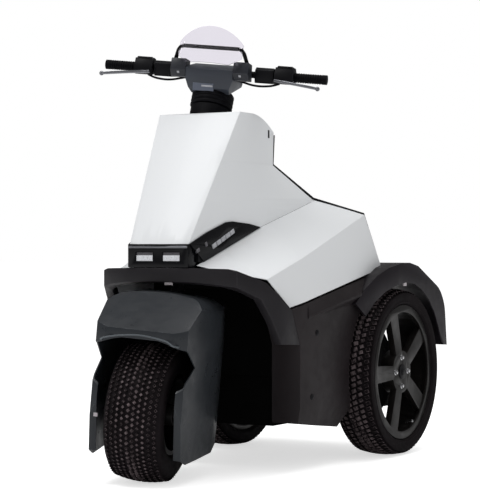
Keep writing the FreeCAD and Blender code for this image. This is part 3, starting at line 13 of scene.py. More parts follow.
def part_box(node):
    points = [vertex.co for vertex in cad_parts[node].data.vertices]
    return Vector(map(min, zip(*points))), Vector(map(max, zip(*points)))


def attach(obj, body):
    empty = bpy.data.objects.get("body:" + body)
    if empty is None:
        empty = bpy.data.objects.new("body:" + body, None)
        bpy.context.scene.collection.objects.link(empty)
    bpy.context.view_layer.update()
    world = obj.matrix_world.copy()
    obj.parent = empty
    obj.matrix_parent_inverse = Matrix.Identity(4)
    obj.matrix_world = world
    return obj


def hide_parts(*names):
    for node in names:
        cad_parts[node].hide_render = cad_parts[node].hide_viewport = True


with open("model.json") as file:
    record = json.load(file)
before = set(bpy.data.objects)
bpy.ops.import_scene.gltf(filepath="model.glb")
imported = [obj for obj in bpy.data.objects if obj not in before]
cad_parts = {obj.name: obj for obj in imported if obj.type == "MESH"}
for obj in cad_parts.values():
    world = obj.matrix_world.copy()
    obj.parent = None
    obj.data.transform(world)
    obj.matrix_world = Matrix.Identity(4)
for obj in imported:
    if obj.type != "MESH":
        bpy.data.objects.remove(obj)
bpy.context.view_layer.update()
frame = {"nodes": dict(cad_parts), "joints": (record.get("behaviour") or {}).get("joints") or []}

bl_info = {
    "name": "Stand-up Three-wheeler",
    "version": (1, 0, 0),
    "blender": (4, 5, 0),
    "location": "View3D > Sidebar > Three-wheeler",
    "description": "Dresses the packed three-wheeler with its finishes and small pieces",
    "category": "Object",
}


def joint(name):
    """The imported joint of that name."""
    return next(entry for entry in frame["joints"] if entry["name"] == name)


def steering_turn():
    """The turn that takes pieces drawn straight ahead to the angle at which the vehicle is parked."""
    steering = joint("steering_turn")
    pivot = Vector(steering["pos_m"])
    axis = Vector(steering["axis"]).normalized()
    wheel_axis = Vector(joint("front_wheel_spin")["axis"]).normalized()
    angle = Vector((0, 1, 0)).angle(wheel_axis)
    return Matrix.Translation(pivot) @ Matrix.Rotation(angle, 4, axis) @ Matrix.Translation(-pivot)


STEERED = steering_turn()
REAR_WHEEL = {side: Vector(joint(f"rear_{side}_spin")["pos_m"]) for side in ("left", "right")}
FRONT_WHEEL = Vector(joint("front_wheel_spin")["pos_m"])


def straight_box(node):
    """The low and high corners of a steered node with the steering straight ahead."""
    piece = frame["nodes"][node]
    back = STEERED.inverted() @ piece.matrix_world
    spots = [back @ vertex.co for vertex in piece.data.vertices]
    return (Vector([min(spot[axis] for spot in spots) for axis in range(3)]),
            Vector([max(spot[axis] for spot in spots) for axis in range(3)]))


def face_at(nodes, start, direction):
    """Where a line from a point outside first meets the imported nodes, and the face's normal there."""
    hits = []
    for node in nodes:
        piece = frame["nodes"][node]
        tree = BVHTree.FromPolygons(
            [piece.matrix_world @ vertex.co for vertex in piece.data.vertices],
            [polygon.vertices[:] for polygon in piece.data.polygons])
        spot, normal, _, distance = tree.ray_cast(Vector(start), Vector(direction))
        if spot is not None:
            hits.append((distance, spot, normal))
    _, spot, normal = min(hits, key=lambda hit: hit[0])
    if normal.dot(Vector(direction)) > 0:
        normal = -normal
    return spot, normal


def tone(red, green, blue):
    """Screen values from 0 to 255 as the linear colour that shaders take."""
    shares = [value / 255 for value in (red, green, blue)]
    return tuple(s / 12.92 if s < 0.04045 else ((s + 0.055) / 1.055) ** 2.4 for s in shares)


def colour(label, note, default):
    """A colour that the user may change."""
    return bpy.props.FloatVectorProperty(
        name=label, description=note, subtype="COLOR", size=3, min=0, max=1, default=default)


def length(label, note, default):
    """A length in metres that the user may change."""
    return bpy.props.FloatProperty(
        name=label, description=note, subtype="DISTANCE", unit="LENGTH", min=0, default=default)


class ThreeWheelerColours(bpy.types.PropertyGroup):
    """Colours of the vehicle's finishes."""

    shell: colour("Shell", "Glossy paint of the nose and shoulders", tone(232, 234, 236))
    panel: colour("Panel", "Moulded plastic of the side panels", tone(36, 31, 33))
    bumper: colour("Bumper", "Moulded plastic of the bumper", tone(36, 34, 37))
    fender: colour("Fender", "Moulded plastic of the rear fenders", tone(29, 25, 30))
    shroud: colour("Shroud", "Satin plastic of the front shroud", tone(43, 46, 50))
    console: colour("Console", "Satin plastic of the console", tone(58, 62, 70))
    black: colour("Black plastic", "Grained plastic of the small dark pieces", tone(17, 17, 20))
    gloss: colour("Black gloss", "Glossy plastic of the lamp strip and vents", tone(12, 12, 15))
    tyre: colour("Tyre", "Rubber of the tyres", tone(24, 20, 22))
    rim: colour("Rim", "Enamel of the wheels", tone(23, 21, 20))
    steel: colour("Steel", "Bare steel and bolts", tone(205, 205, 208))
    alloy: colour("Alloy", "Anodised alloy of the levers", tone(128, 129, 134))
    frame: colour("Frame", "Powder coat of the frame and fork", tone(13, 13, 15))
    grip: colour("Grip", "Rubber of the grips, boot and mat", tone(12, 12, 15))
    deck: colour("Deck", "Anodised alloy of the deck", tone(104, 106, 110))
    glass: colour("Glass", "Tint of the clear screen", tone(232, 228, 237))
    red: colour("Tail red", "Lens of the tail lamps", tone(150, 16, 20))
    marker: colour("Marker", "Lens of the small markers", tone(176, 168, 172))


class ThreeWheelerSizes(bpy.types.PropertyGroup):
    """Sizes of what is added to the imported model."""

    front_knob_rows: bpy.props.IntProperty(
        name="Front knob rows", description="Rows of knobs across the front tyre", min=4, default=10)
    front_knobs_around: bpy.props.IntProperty(
        name="Front knobs around", description="Knobs in each row of the front tyre", min=20, default=78)
    front_knob_side: length("Front knob side", "Side of each diamond knob", 0.0098)
    rear_block_rows: bpy.props.IntProperty(
        name="Rear block rows", description="Rows of tread blocks across a rear tyre", min=3, default=6)
    rear_blocks_around: bpy.props.IntProperty(
        name="Rear blocks around", description="Blocks in each row of a rear tyre", min=20, default=88)
    tread_depth: length("Tread depth", "Height of the knobs and blocks", 0.006)
    shell_edge: length("Shell edge", "Radius on the edges of the white shell", 0.0028)
    panel_edge: length("Panel edge", "Radius on the edges of the dark panels", 0.0024)
    fine_edge: length("Fine edge", "Radius on the edges of small pieces", 0.0012)
    grip_pitch: length("Grip pitch", "Distance from rib to rib along a grip", 0.008)
    mat_pitch: length("Mat pitch", "Distance from rib to rib across the deck mat", 0.020)


def colours():
    """The colours in use."""
    return bpy.context.scene.three_wheeler_colours


def sizes():
    """The sizes in use."""
    return bpy.context.scene.three_wheeler_sizes


# Shader effects shared by the finishes


def shader_group(name, inputs, outputs):
    """An empty shader group with named sockets, and its two end nodes."""
    group = bpy.data.node_groups.new(name, "ShaderNodeTree")
    for label, kind, value in inputs:
        socket = group.interface.new_socket(name=label, in_out="INPUT", socket_type=kind)
        if value is not None:
            socket.default_value = value
    for label, kind in outputs:
        group.interface.new_socket(name=label, in_out="OUTPUT", socket_type=kind)
    return group, group.nodes.new("NodeGroupInput"), group.nodes.new("NodeGroupOutput")


def noise_node(tree, vector, scale, detail, roughness=0.5):
    """A noise texture that reads the given vector."""
    node = tree.nodes.new("ShaderNodeTexNoise")
    node.inputs["Detail"].default_value = detail
    node.inputs["Roughness"].default_value = roughness
    tree.links.new(vector, node.inputs["Vector"])
    if isinstance(scale, bpy.types.NodeSocket):
        tree.links.new(scale, node.inputs["Scale"])
    else:
        node.inputs["Scale"].default_value = scale
    return node


def range_node(tree, value, low, high, to_low=0.0, to_high=1.0):
    """Map a value from one span to another and stop at its ends."""
    node = tree.nodes.new("ShaderNodeMapRange")
    tree.links.new(value, node.inputs["Value"])
    for label, number in (("From Min", low), ("From Max", high), ("To Min", to_low), ("To Max", to_high)):
        node.inputs[label].default_value = number
    return node.outputs["Result"]


def maths(tree, operation, first, second):
    """One arithmetic step on two values."""
    node = tree.nodes.new("ShaderNodeMath")
    node.operation = operation
    for socket, value in zip(node.inputs, (first, second)):
        if isinstance(value, bpy.types.NodeSocket):
            tree.links.new(value, socket)
        else:
            socket.default_value = value
    return node.outputs["Value"]


def mixed(tree, factor, first, second):
    """A colour between two colours."""
    node = tree.nodes.new("ShaderNodeMix")
    node.data_type = "RGBA"
    tree.links.new(factor, node.inputs["Factor"])
    for label, value in (("A", first), ("B", second)):
        socket = next(s for s in node.inputs if s.name == label and s.type == "RGBA")
        if isinstance(value, bpy.types.NodeSocket):
            tree.links.new(value, socket)
        else:
            socket.default_value = (*value, 1.0)
    return next(s for s in node.outputs if s.type == "RGBA")


def mottle_group():
    """Slow cloudy variation, from 0 to 1."""
    group, entry, leave = shader_group(
        "Cloudy Mottle", [("Vector", "NodeSocketVector", None), ("Scale", "NodeSocketFloat", 9.0)],
        [("Value", "NodeSocketFloat")])
    clouds = noise_node(group, entry.outputs["Vector"], entry.outputs["Scale"], 5.0)
    group.links.new(range_node(group, clouds.outputs["Fac"], 0.3, 0.7), leave.inputs["Value"])
    return group


def grain_group():
    """Fine moulded grain, as a height."""
    group, entry, leave = shader_group(
        "Moulded Grain", [("Vector", "NodeSocketVector", None), ("Scale", "NodeSocketFloat", 700.0)],
        [("Height", "NodeSocketFloat")])
    pebbles = group.nodes.new("ShaderNodeTexVoronoi")
    pebbles.feature = "SMOOTH_F1"
    group.links.new(entry.outputs["Vector"], pebbles.inputs["Vector"])
    group.links.new(entry.outputs["Scale"], pebbles.inputs["Scale"])
    dust = noise_node(group, entry.outputs["Vector"], entry.outputs["Scale"], 3.0)
    height = maths(group, "ADD", maths(group, "MULTIPLY", pebbles.outputs["Distance"], 0.6),
                   maths(group, "MULTIPLY", dust.outputs["Fac"], 0.4))
    group.links.new(height, leave.inputs["Height"])
    return group


def wear_and_highlight_group():
    """Rubbed edges and painted highlights: the marked faces (bevelled faces, and tyre tops that are also a
    painted highlight), broken up by noise.
    """
    group, entry, leave = shader_group(
        "Rubbed Edges And Painted Highlights", [("Vector", "NodeSocketVector", None), ("Amount", "NodeSocketFloat", 0.5)],
        [("Mask", "NodeSocketFloat")])
    edge = group.nodes.new("ShaderNodeAttribute")
    edge.attribute_name = WEAR_AND_HIGHLIGHT_ATTRIBUTE
    rubs = noise_node(group, entry.outputs["Vector"], 60.0, 6.0, 0.7)
    broken = range_node(group, rubs.outputs["Fac"], 0.38, 0.62)
    mask = maths(group, "MULTIPLY", maths(group, "MULTIPLY", edge.outputs["Fac"], broken),
                 entry.outputs["Amount"])
    group.links.new(mask, leave.inputs["Mask"])
    return group


def dust_group():
    """Thin dust on faces that look up."""
    group, entry, leave = shader_group(
        "Settled Dust", [("Vector", "NodeSocketVector", None), ("Amount", "NodeSocketFloat", 0.3)],
        [("Mask", "NodeSocketFloat")])
    geometry = group.nodes.new("ShaderNodeNewGeometry")
    parts = group.nodes.new("ShaderNodeSeparateXYZ")
    group.links.new(geometry.outputs["Normal"], parts.inputs["Vector"])
    upward = range_node(group, parts.outputs["Z"], 0.1, 1.0)
    specks = noise_node(group, entry.outputs["Vector"], 35.0, 8.0, 0.65)
    broken = range_node(group, specks.outputs["Fac"], 0.35, 0.75)
    mask = maths(group, "MULTIPLY", maths(group, "MULTIPLY", upward, broken), entry.outputs["Amount"])
    group.links.new(mask, leave.inputs["Mask"])
    return group


WEAR_AND_HIGHLIGHT_ATTRIBUTE = "rubbed_edge_and_highlight"
DUST_TONE = tone(150, 144, 138)
GROUP_MAKERS = {
    "Cloudy Mottle": mottle_group,
    "Moulded Grain": grain_group,
    "Rubbed Edges And Painted Highlights": wear_and_highlight_group,
    "Settled Dust": dust_group,
}


def effect(tree, name, vector, **values):
    """Place a shared effect in a material with its own values."""
    node = tree.nodes.new("ShaderNodeGroup")
    node.node_tree = bpy.data.node_groups.get(name) or GROUP_MAKERS[name]()
    tree.links.new(vector, node.inputs["Vector"])
    for label, value in values.items():
        node.inputs[label].default_value = value
    return node.outputs[0]


# Finishes


def new_shader(name="finish"):
    """An empty material, its tree, its shader and its object coordinates."""
    material = bpy.data.materials.new(name)
    material.use_nodes = True
    tree = material.node_tree
    place = tree.nodes.new("ShaderNodeTexCoord")
    return material, tree, tree.nodes["Principled BSDF"], place.outputs["Object"]


def scaled(shade, share):
    """A lighter or darker shade."""
    return tuple(min(value * share, 1.0) for value in shade)


def surface(shade, roughness, *, metallic=0.0, coat=0.0, specular=0.5, spread=0.10, patch=7.0,
            unevenness=0.08, grain=0.0, grain_scale=700.0, wear_and_highlight=0.0, wear_and_highlight_shade=None, dust=0.0):
    """A solid finish: cloudy shade, uneven gloss, grain, rubbed edges that also carry painted highlights, and
    dust.
    """
    material, tree, shader, vector = new_shader()
    cloud = effect(tree, "Cloudy Mottle", vector, Scale=patch)
    tint = mixed(tree, cloud, scaled(shade, 1 - spread), scaled(shade, 1 + spread))
    # Marked faces take a lighter shade: rubbed wear, and on the tyre tops also a painted highlight.
    if wear_and_highlight:
        mask = effect(tree, "Rubbed Edges And Painted Highlights", vector, Amount=wear_and_highlight)
        tint = mixed(tree, mask, tint, wear_and_highlight_shade or scaled(shade, 2.2))
    if dust:
        mask = effect(tree, "Settled Dust", vector, Amount=dust)
        tint = mixed(tree, mask, tint, DUST_TONE)
    tree.links.new(tint, shader.inputs["Base Color"])
    fine_cloud = effect(tree, "Cloudy Mottle", vector, Scale=patch * 4)
    gloss = range_node(tree, fine_cloud, 0.0, 1.0, roughness - unevenness, roughness + unevenness)
    tree.links.new(gloss, shader.inputs["Roughness"])
    if grain:
        bump = tree.nodes.new("ShaderNodeBump")
        bump.inputs["Strength"].default_value = 0.6
        bump.inputs["Distance"].default_value = grain
        tree.links.new(effect(tree, "Moulded Grain", vector, Scale=grain_scale), bump.inputs["Height"])
        tree.links.new(bump.outputs["Normal"], shader.inputs["Normal"])
    shader.inputs["Metallic"].default_value = metallic
    shader.inputs["Coat Weight"].default_value = coat
    shader.inputs["Coat Roughness"].default_value = 0.06
    shader.inputs["Specular IOR Level"].default_value = specular
    return material


def shell_paint():
    """Glossy white paint over smooth plastic."""
    return surface(colours().shell, 0.44, coat=0.03, spread=0.003, patch=3.0,
                   unevenness=0.015, grain=0.00002, grain_scale=160.0, dust=0.006)


def panel_plastic():
    """Grained dark plastic of the side panels."""
    return surface(colours().panel, 0.50, specular=0.20, spread=0.14, grain=0.00012,
                   wear_and_highlight=0.30, dust=0.05)


def bumper_plastic():
    """Coarser dark plastic of the bumper."""
    return surface(colours().bumper, 0.46, specular=0.18, spread=0.16, grain=0.00016,
                   grain_scale=520.0, wear_and_highlight=0.40, dust=0.04)


def fender_plastic():
    """Satin dark plastic of the rear fenders."""
    return surface(colours().fender, 0.38, specular=0.22, spread=0.14, grain=0.00008,
                   wear_and_highlight=0.30, dust=0.05)


def shroud_plastic():
    """Satin blue-grey plastic of the front shroud."""
    return surface(colours().shroud, 0.34, specular=0.28, spread=0.12, grain=0.00005,
                   wear_and_highlight=0.60, dust=0.03, wear_and_highlight_shade=tone(150, 156, 160))


def console_plastic():
    """Satin grey plastic of the console."""
    return surface(colours().console, 0.38, specular=0.36, grain=0.00006, wear_and_highlight=0.30)


def black_plastic():
    """Grained black plastic of the small pieces."""
    return surface(colours().black, 0.44, specular=0.12, spread=0.18, grain=0.0001,
                   wear_and_highlight=0.35, wear_and_highlight_shade=tone(62, 62, 66), dust=0.02)


def black_gloss():
    """Glossy black plastic of the lamp strip and vents."""
    return surface(colours().gloss, 0.18, specular=0.20, unevenness=0.04, dust=0.01)


def underseal_and_painted_shade():
    """Near-black underseal of the tub and the wheel well; its depth of black is partly a painted shade where
    the well lies in shadow.
    """
    return surface(tone(6, 6, 6), 0.80, specular=0.04, spread=0.20, grain=0.0002)


def tyre_rubber():
    """Dull rubber with dust in its pores; the tread tops take a much lighter shade, partly rubbed rubber and
    partly a painted highlight where they catch the light.
    """
    return surface(colours().tyre, 0.70, specular=0.06, spread=0.22, patch=14.0,
                   grain=0.0002, grain_scale=420.0, wear_and_highlight=0.85, wear_and_highlight_shade=tone(118, 106, 108), dust=0.03)


def rim_enamel():
    """Dark enamel of the wheels."""
    return surface(colours().rim, 0.36, metallic=0.10, specular=0.26, grain=0.00004,
                   wear_and_highlight=0.45, wear_and_highlight_shade=tone(110, 105, 104), dust=0.03)


def bright_steel():
    """Bright plated steel of the bolts."""
    return surface(colours().steel, 0.26, metallic=1.0, spread=0.06, unevenness=0.08)


def lever_alloy():
    """Bead-blasted alloy of the levers."""
    return surface(colours().alloy, 0.38, metallic=0.9, grain=0.00003, wear_and_highlight=0.3)


def frame_coat():
    """Powder coat of the frame, fork and stem."""
    return surface(colours().frame, 0.42, specular=0.10, grain=0.00008, grain_scale=900.0,
                   wear_and_highlight=0.35, wear_and_highlight_shade=tone(70, 70, 74), dust=0.03)


def grip_rubber():
    """Soft rubber of the grips, boot and mat."""
    return surface(colours().grip, 0.62, specular=0.07, spread=0.16, grain=0.0001,
                   grain_scale=900.0, wear_and_highlight=0.25, wear_and_highlight_shade=tone(52, 52, 56), dust=0.03)


def deck_alloy():
    """Brushed and anodised alloy of the deck."""
    return surface(colours().deck, 0.42, metallic=0.8, spread=0.08, patch=20.0, wear_and_highlight=0.4,
                   dust=0.10)


def marker_lens():
    """Pale lens of the small markers."""
    return surface(colours().marker, 0.18, coat=0.6, spread=0.08, patch=60.0)


def reflector_silver():
    """Bright reflector behind a lamp's lens."""
    return surface(tone(232, 234, 238), 0.30, metallic=0.2, spread=0.06, patch=90.0,
                   wear_and_highlight=0.4, wear_and_highlight_shade=tone(244, 246, 250))


def alloy_dark():
    """Dark reflector behind the small side markers."""
    return surface(tone(84, 82, 87), 0.30, coat=0.5, spread=0.20, patch=70.0)


def lip_painted_highlight():
    """Pale lip round the shroud's window: its light tone is a painted highlight where the rolled edge catches
    the light.
    """
    return surface(tone(84, 90, 95), 0.32, spread=0.12, wear_and_highlight=0.4)


def console_dark():
    """Satin plastic of the console's side pods."""
    return surface(tone(40, 42, 48), 0.38, specular=0.36, grain=0.00006, wear_and_highlight=0.30)


def console_plate():
    """Pale blue-grey plate on the console's front."""
    return surface(tone(88, 94, 108), 0.34, specular=0.4, grain=0.00004, wear_and_highlight=0.40)


def bar_lens():
    """Frosted lens of the side light bars."""
    return surface(tone(168, 169, 174), 0.30, coat=0.4, spread=0.20, patch=70.0, wear_and_highlight=0.5,
                   wear_and_highlight_shade=tone(196, 198, 204))


def screen_glass():
    """Clear tinted plastic of the screen, with small flow marks."""
    material, tree, shader, vector = new_shader()
    shade = colours().glass
    roughness = 0.02
    cloud = effect(tree, "Cloudy Mottle", vector, Scale=18.0)
    tree.links.new(mixed(tree, cloud, scaled(shade, 0.985), shade), shader.inputs["Base Color"])
    tree.links.new(range_node(tree, cloud, 0.0, 1.0, roughness, roughness + 0.03), shader.inputs["Roughness"])
    shader.inputs["Transmission Weight"].default_value = 1.0
    shader.inputs["IOR"].default_value = 1.45
    return material


def tail_lens():
    """Red lens of the tail lamps."""
    return surface(colours().red, 0.14, coat=0.7, spread=0.10, patch=60.0)


FINISH_MAKERS = [
    shell_paint, panel_plastic, bumper_plastic, fender_plastic, shroud_plastic, console_plastic,
    black_plastic, black_gloss, underseal_and_painted_shade, tyre_rubber, rim_enamel, bright_steel, lever_alloy, frame_coat,
    grip_rubber, deck_alloy, marker_lens, reflector_silver, alloy_dark, lip_painted_highlight, console_dark,
    console_plate, bar_lens, screen_glass, tail_lens,
]


def finish(name):
    """The finish of that name, made the first time that it is asked for."""
    title = "finish_" + name
    made = bpy.data.materials.get(title)
    if made is None:
        maker = next(entry for entry in FINISH_MAKERS if entry.__name__ == name)
        made = maker()
        made.name = title
    return made


# Mesh helpers


def piece_from(bm, name, body, finish_name, *, smooth=32.0, replaces=(), face_out=True):
    """Turn a finished bmesh into a piece that rides on a body."""
    if face_out:
        bmesh.ops.recalc_face_normals(bm, faces=bm.faces)
    mesh = bpy.data.meshes.new(name)
    bm.to_mesh(mesh)
    bm.free()
    piece = bpy.data.objects.new(name, mesh)
    bpy.context.scene.collection.objects.link(piece)
    mesh.materials.append(finish(finish_name))
    mesh.shade_smooth()
    mesh.set_sharp_from_angle(angle=math.radians(smooth))
    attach(piece, body)
    if replaces:
        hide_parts(*replaces)
    return piece


def blank_mesh(source=None):
    """A bmesh with room for the note on rubbed faces and painted highlights, empty or filled from a mesh."""
    bm = bmesh.new()
    if source:
        bm.from_mesh(source)
    bm.faces.layers.float.new(WEAR_AND_HIGHLIGHT_ATTRIBUTE)
    return bm


def mark_wear_and_highlight(bm, faces):
    """Note the faces that the finishes show lighter: bevelled faces as rubbed, tyre tops also as a painted
    highlight.
    """
    layer = bm.faces.layers.float[WEAR_AND_HIGHLIGHT_ATTRIBUTE]
    for face in faces:
        face[layer] = 1.0


def round_edges(bm, width, segments=2, sharper_than=28.0, edges=None, clamp=True):
    """Bevel the sharp edges and note the new faces."""
    limit = math.radians(sharper_than)
    sharp = [e for e in edges or bm.edges if e.is_manifold and e.calc_face_angle(0.0) > limit]
    made = bmesh.ops.bevel(
        bm, geom=sharp, offset=width, offset_type="OFFSET", affect="EDGES", segments=segments,
        profile=0.5, material=-1, clamp_overlap=clamp, loop_slide=True)
    mark_wear_and_highlight(bm, made["faces"])


def node_mesh(node):
    """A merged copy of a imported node, with its flat faces whole."""
    bm = blank_mesh(frame["nodes"][node].data)
    bmesh.ops.remove_doubles(bm, verts=bm.verts, dist=0.00002)
    bmesh.ops.dissolve_limit(
        bm, angle_limit=math.radians(0.6), use_dissolve_boundaries=False, verts=bm.verts, edges=bm.edges,
        delimit=set())
    return bm


def dress(node, body, finish_name, width, segments=2, smooth=32.0):
    """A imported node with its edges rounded, standing for the node."""
    bm = node_mesh(node)
    if width:
        round_edges(bm, width, segments)
    return piece_from(bm, node + "_skin", body, finish_name, smooth=smooth, replaces=(node,),
                      face_out=False)


def carry(node, finish_name):
    """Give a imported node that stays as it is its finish."""
    for slot in frame["nodes"][node].material_slots:
        slot.material = finish(finish_name)


def loop_of(bm, points):
    """A closed outline of vertices and edges."""
    corners = [bm.verts.new(point) for point in points]
    for first, second in zip(corners, corners[1:] + corners[:1]):
        bm.edges.new((first, second))
    return corners


def add_turned(bm, points, steps, matrix):
    """A closed outline of (along, out) pairs spun about the matrix's Y axis."""
    before = set(bm.verts)
    corners = loop_of(bm, [(out, along, 0.0) for along, out in points])
    edges = list({e for v in corners for e in v.link_edges})
    bmesh.ops.spin(
        bm, geom=corners + edges, cent=(0, 0, 0), axis=(0, 1, 0), dvec=(0, 0, 0),
        angle=math.tau, steps=steps, use_merge=True, use_normal_flip=False, use_duplicate=False)
    bmesh.ops.remove_doubles(bm, verts=[v for v in bm.verts if v not in before], dist=0.00001)
    bmesh.ops.transform(bm, matrix=matrix, verts=[v for v in bm.verts if v not in before])


def add_tube(bm, path, radius, sides=10):
    """A round rod through the points, closed at both ends."""
    path = [Vector(point) for point in path]
    last = len(path) - 1
    rings = []
    for index, spot in enumerate(path):
        travel = path[min(index + 1, last)] - path[max(index - 1, 0)]
        turn = travel.to_track_quat("Z", "X").to_matrix().to_4x4()
        ring = bmesh.ops.create_circle(
            bm, cap_ends=index in (0, last), segments=sides, radius=radius,
            matrix=Matrix.Translation(spot) @ turn)
        rings.append({e for v in ring["verts"] for e in v.link_edges})
    for first, second in zip(rings, rings[1:]):
        bmesh.ops.bridge_loops(bm, edges=list(first | second))


def smooth_path(points, count=6):
    """The points joined by a flowing curve, with some points added between each two."""
    spots = [Vector(point) for point in points]
    path = []
    for index, (start, end) in enumerate(zip(spots, spots[1:])):
        before = spots[max(index - 1, 0)]
        after = spots[min(index + 2, len(spots) - 1)]
        start_pull = start + (end - before) / 6
        end_pull = end - (after - start) / 6
        path += interpolate_bezier(start, start_pull, end_pull, end, count)[:-1]
    return path + [spots[-1]]


def add_block(bm, matrix, size, taper=1.0, edge=0.0):
    """A block about the matrix's origin, its outer (+Z) end drawn in by the taper. Returns its geometry."""
    made = bmesh.ops.create_cube(bm, size=1.0, matrix=Matrix.Diagonal((*size, 1.0)))
    verts = made["verts"]
    top = [v for v in verts if v.co.z > 0]
    bmesh.ops.scale(bm, vec=(taper, taper, 1.0), verts=top)
    if edge:
        rim = [e for e in {e for v in top for e in v.link_edges} if all(v in top for v in e.verts)]
        bevelled = bmesh.ops.bevel(
            bm, geom=rim, offset=edge, offset_type="OFFSET", affect="EDGES", segments=1, profile=0.5,
            material=-1, clamp_overlap=True)
        mark_wear_and_highlight(bm, bevelled["faces"])
        faces = {f for v in bevelled["verts"] for f in v.link_faces}
        faces |= {f for v in verts if v.is_valid for f in v.link_faces}
        verts = list({v for f in faces for v in f.verts})
    bmesh.ops.transform(bm, matrix=matrix, verts=verts)
    faces = {f for v in verts for f in v.link_faces}
    edges = {e for v in verts for e in v.link_edges}
    return list(verts) + list(edges) + list(faces)


def ring_of(bm, geometry, count):
    """Repeat the geometry evenly all the way round the Y axis."""
    bmesh.ops.spin(
        bm, geom=geometry, cent=(0, 0, 0), axis=(0, 1, 0), dvec=(0, 0, 0),
        angle=math.tau * (count - 1) / count, steps=count - 1, use_duplicate=True)


def add_drum(bm, radius, depth, matrix, sides=24, edge=0.0):
    """A closed round drum about the matrix's Z axis, standing on its origin."""
    made = bmesh.ops.create_cone(
        bm, cap_ends=True, cap_tris=False, segments=sides, radius1=radius, radius2=radius, depth=depth,
        matrix=Matrix.Translation((0, 0, depth / 2)))
    verts = made["verts"]
    if edge:
        rim = list({e for v in verts if v.co.z > depth / 2 for e in v.link_edges
                    if all(w.co.z > depth / 2 for w in e.verts)})
        bevelled = bmesh.ops.bevel(
            bm, geom=rim, offset=edge, offset_type="OFFSET", affect="EDGES", segments=2, profile=0.5,
            material=-1, clamp_overlap=True)
        mark_wear_and_highlight(bm, bevelled["faces"])
        faces = {f for v in bevelled["verts"] for f in v.link_faces}
        faces |= {f for v in verts if v.is_valid for f in v.link_faces}
        verts = list({v for f in faces for v in f.verts})
    bmesh.ops.transform(bm, matrix=matrix, verts=verts)
    return verts


def facing(origin, direction):
    """A matrix whose Z axis points the given way from the origin."""
    return Matrix.Translation(origin) @ Vector(direction).to_track_quat("Z", "Y").to_matrix().to_4x4()


# Tyres


def curve_between(start, start_pull, end_pull, end, count):
    """Points on a smooth curve from start to end, without its last point."""
    points = interpolate_bezier(*(Vector((*p, 0.0)) for p in (start, start_pull, end_pull, end)), count)
    return [(p.x, p.y) for p in points[:-1]]


def crown_of(radius, half, rim_radius, tread):
    """How far the crown reaches to each side, how much it drops there, and the height at which it ends."""
    drop = (radius - rim_radius) * 0.10
    return half * 0.80, drop, radius - drop - tread


def tyre_outline(radius, half, rim_radius, groove_at, tread):
    """The carcass in section, as (along, out) pairs: bead, sidewall with a groove, crown and inner wall."""
    shoulder, drop, side_top = crown_of(radius, half, rim_radius, tread)
    bead = half * 0.80
    wall = 0.011
    widest = (rim_radius + radius) / 2
    flange = rim_radius + 0.008
    groove_depth = 0.0022
    groove_reach = 0.0035
    lower = curve_between((bead, flange), (half * 0.95, flange + 0.006), (half, widest - 0.02),
                          (half, widest), 7)
    upper = curve_between((half, widest), (half, widest + 0.03), (shoulder + 0.012, side_top - 0.01),
                          (shoulder, side_top), 9)
    side = [(along - groove_depth if abs(out - groove_at) < groove_reach else along, out)
            for along, out in [(bead, rim_radius)] + lower + upper]
    crown = []
    steps = 10
    for step in range(steps + 1):
        along = shoulder * (1 - 2 * step / steps)
        crown.append((along, side_top + drop * (1 - (along / shoulder) ** 2)))
    inner = [(bead - wall, rim_radius), (half - wall, widest), (shoulder - wall, side_top - wall)]
    inner_middle = (0.0, radius - tread - wall)
    outer_left = [(-along, out) for along, out in reversed(side)]
    inner_left = [(-along, out) for along, out in inner]
    return side + crown + outer_left + inner_left + [inner_middle] + inner[::-1]


def crown_place(along, radius, half, rim_radius, tread):
    """The tread's height and slope at a place across the tyre."""
    shoulder, drop, side_top = crown_of(radius, half, rim_radius, tread)
    out = side_top + drop * (1 - (along / shoulder) ** 2)
    slope = math.atan2(2 * drop * along / shoulder ** 2, 1.0)
    return out, slope


def add_tread(bm, radius, half, rim_radius, rows, count, share, size, taper, edge, turn):
    """Rows of blocks over a share of the tyre's width, every second row half a block further on."""
    tread = sizes().tread_depth
    for row in range(rows):
        along = half * share * (row / (rows - 1) - 0.5)
        out, slope = crown_place(along, radius, half, rim_radius, tread)
        stagger = math.tau / count * (0.5 if row % 2 else 0.0)
        matrix = (Matrix.Rotation(stagger, 4, "Y") @ Matrix.Translation((0, along, out + tread * 0.3))
                  @ Matrix.Rotation(-slope, 4, "X") @ Matrix.Rotation(math.radians(turn), 4, "Z"))
        ring_of(bm, add_block(bm, matrix, (*size, tread * 1.5), taper, edge), count)
    # The tread tops are noted for a lighter shade: partly rubbed rubber, partly a painted highlight.
    mark_rubbed_and_lit_tops(bm, radius - tread * 0.9)


def mark_rubbed_and_lit_tops(bm, limit):
    """Note the tread's faces further out than the limit, which the road rubs; the finish paints them lighter,
    partly as wear and partly as a painted highlight.
    """
    mark_wear_and_highlight(bm, [f for f in bm.faces if math.hypot(*f.calc_center_median().xz) > limit])


class THREE_WHEELER_OT_front_tyre(bpy.types.Operator):
    """Make the fat front tyre with its rows of diamond knobs"""

    bl_idname = "three_wheeler.front_tyre"
    bl_label = "Front Tyre"

    def execute(self, context):
        low, high = straight_box("front_tyre")
        radius = (high.z - low.z) / 2
        half = (high.y - low.y) / 2
        rim_radius = 0.118
        side = sizes().front_knob_side
        bm = blank_mesh()
        outline = tyre_outline(radius, half, rim_radius, radius * 0.80, sizes().tread_depth)
        add_turned(bm, outline, 96, Matrix())
        add_tread(bm, radius, half, rim_radius, sizes().front_knob_rows, sizes().front_knobs_around, 1.62,
                  (side, side), 0.74, side * 0.08, 45)
        wheel = Matrix.Translation(FRONT_WHEEL) @ STEERED.to_3x3().to_4x4()
        bmesh.ops.transform(bm, matrix=wheel, verts=bm.verts)
        piece_from(bm, "front_tyre_tread", "front_wheel", "tyre_rubber", replaces=("front_tyre",))
        return {"FINISHED"}


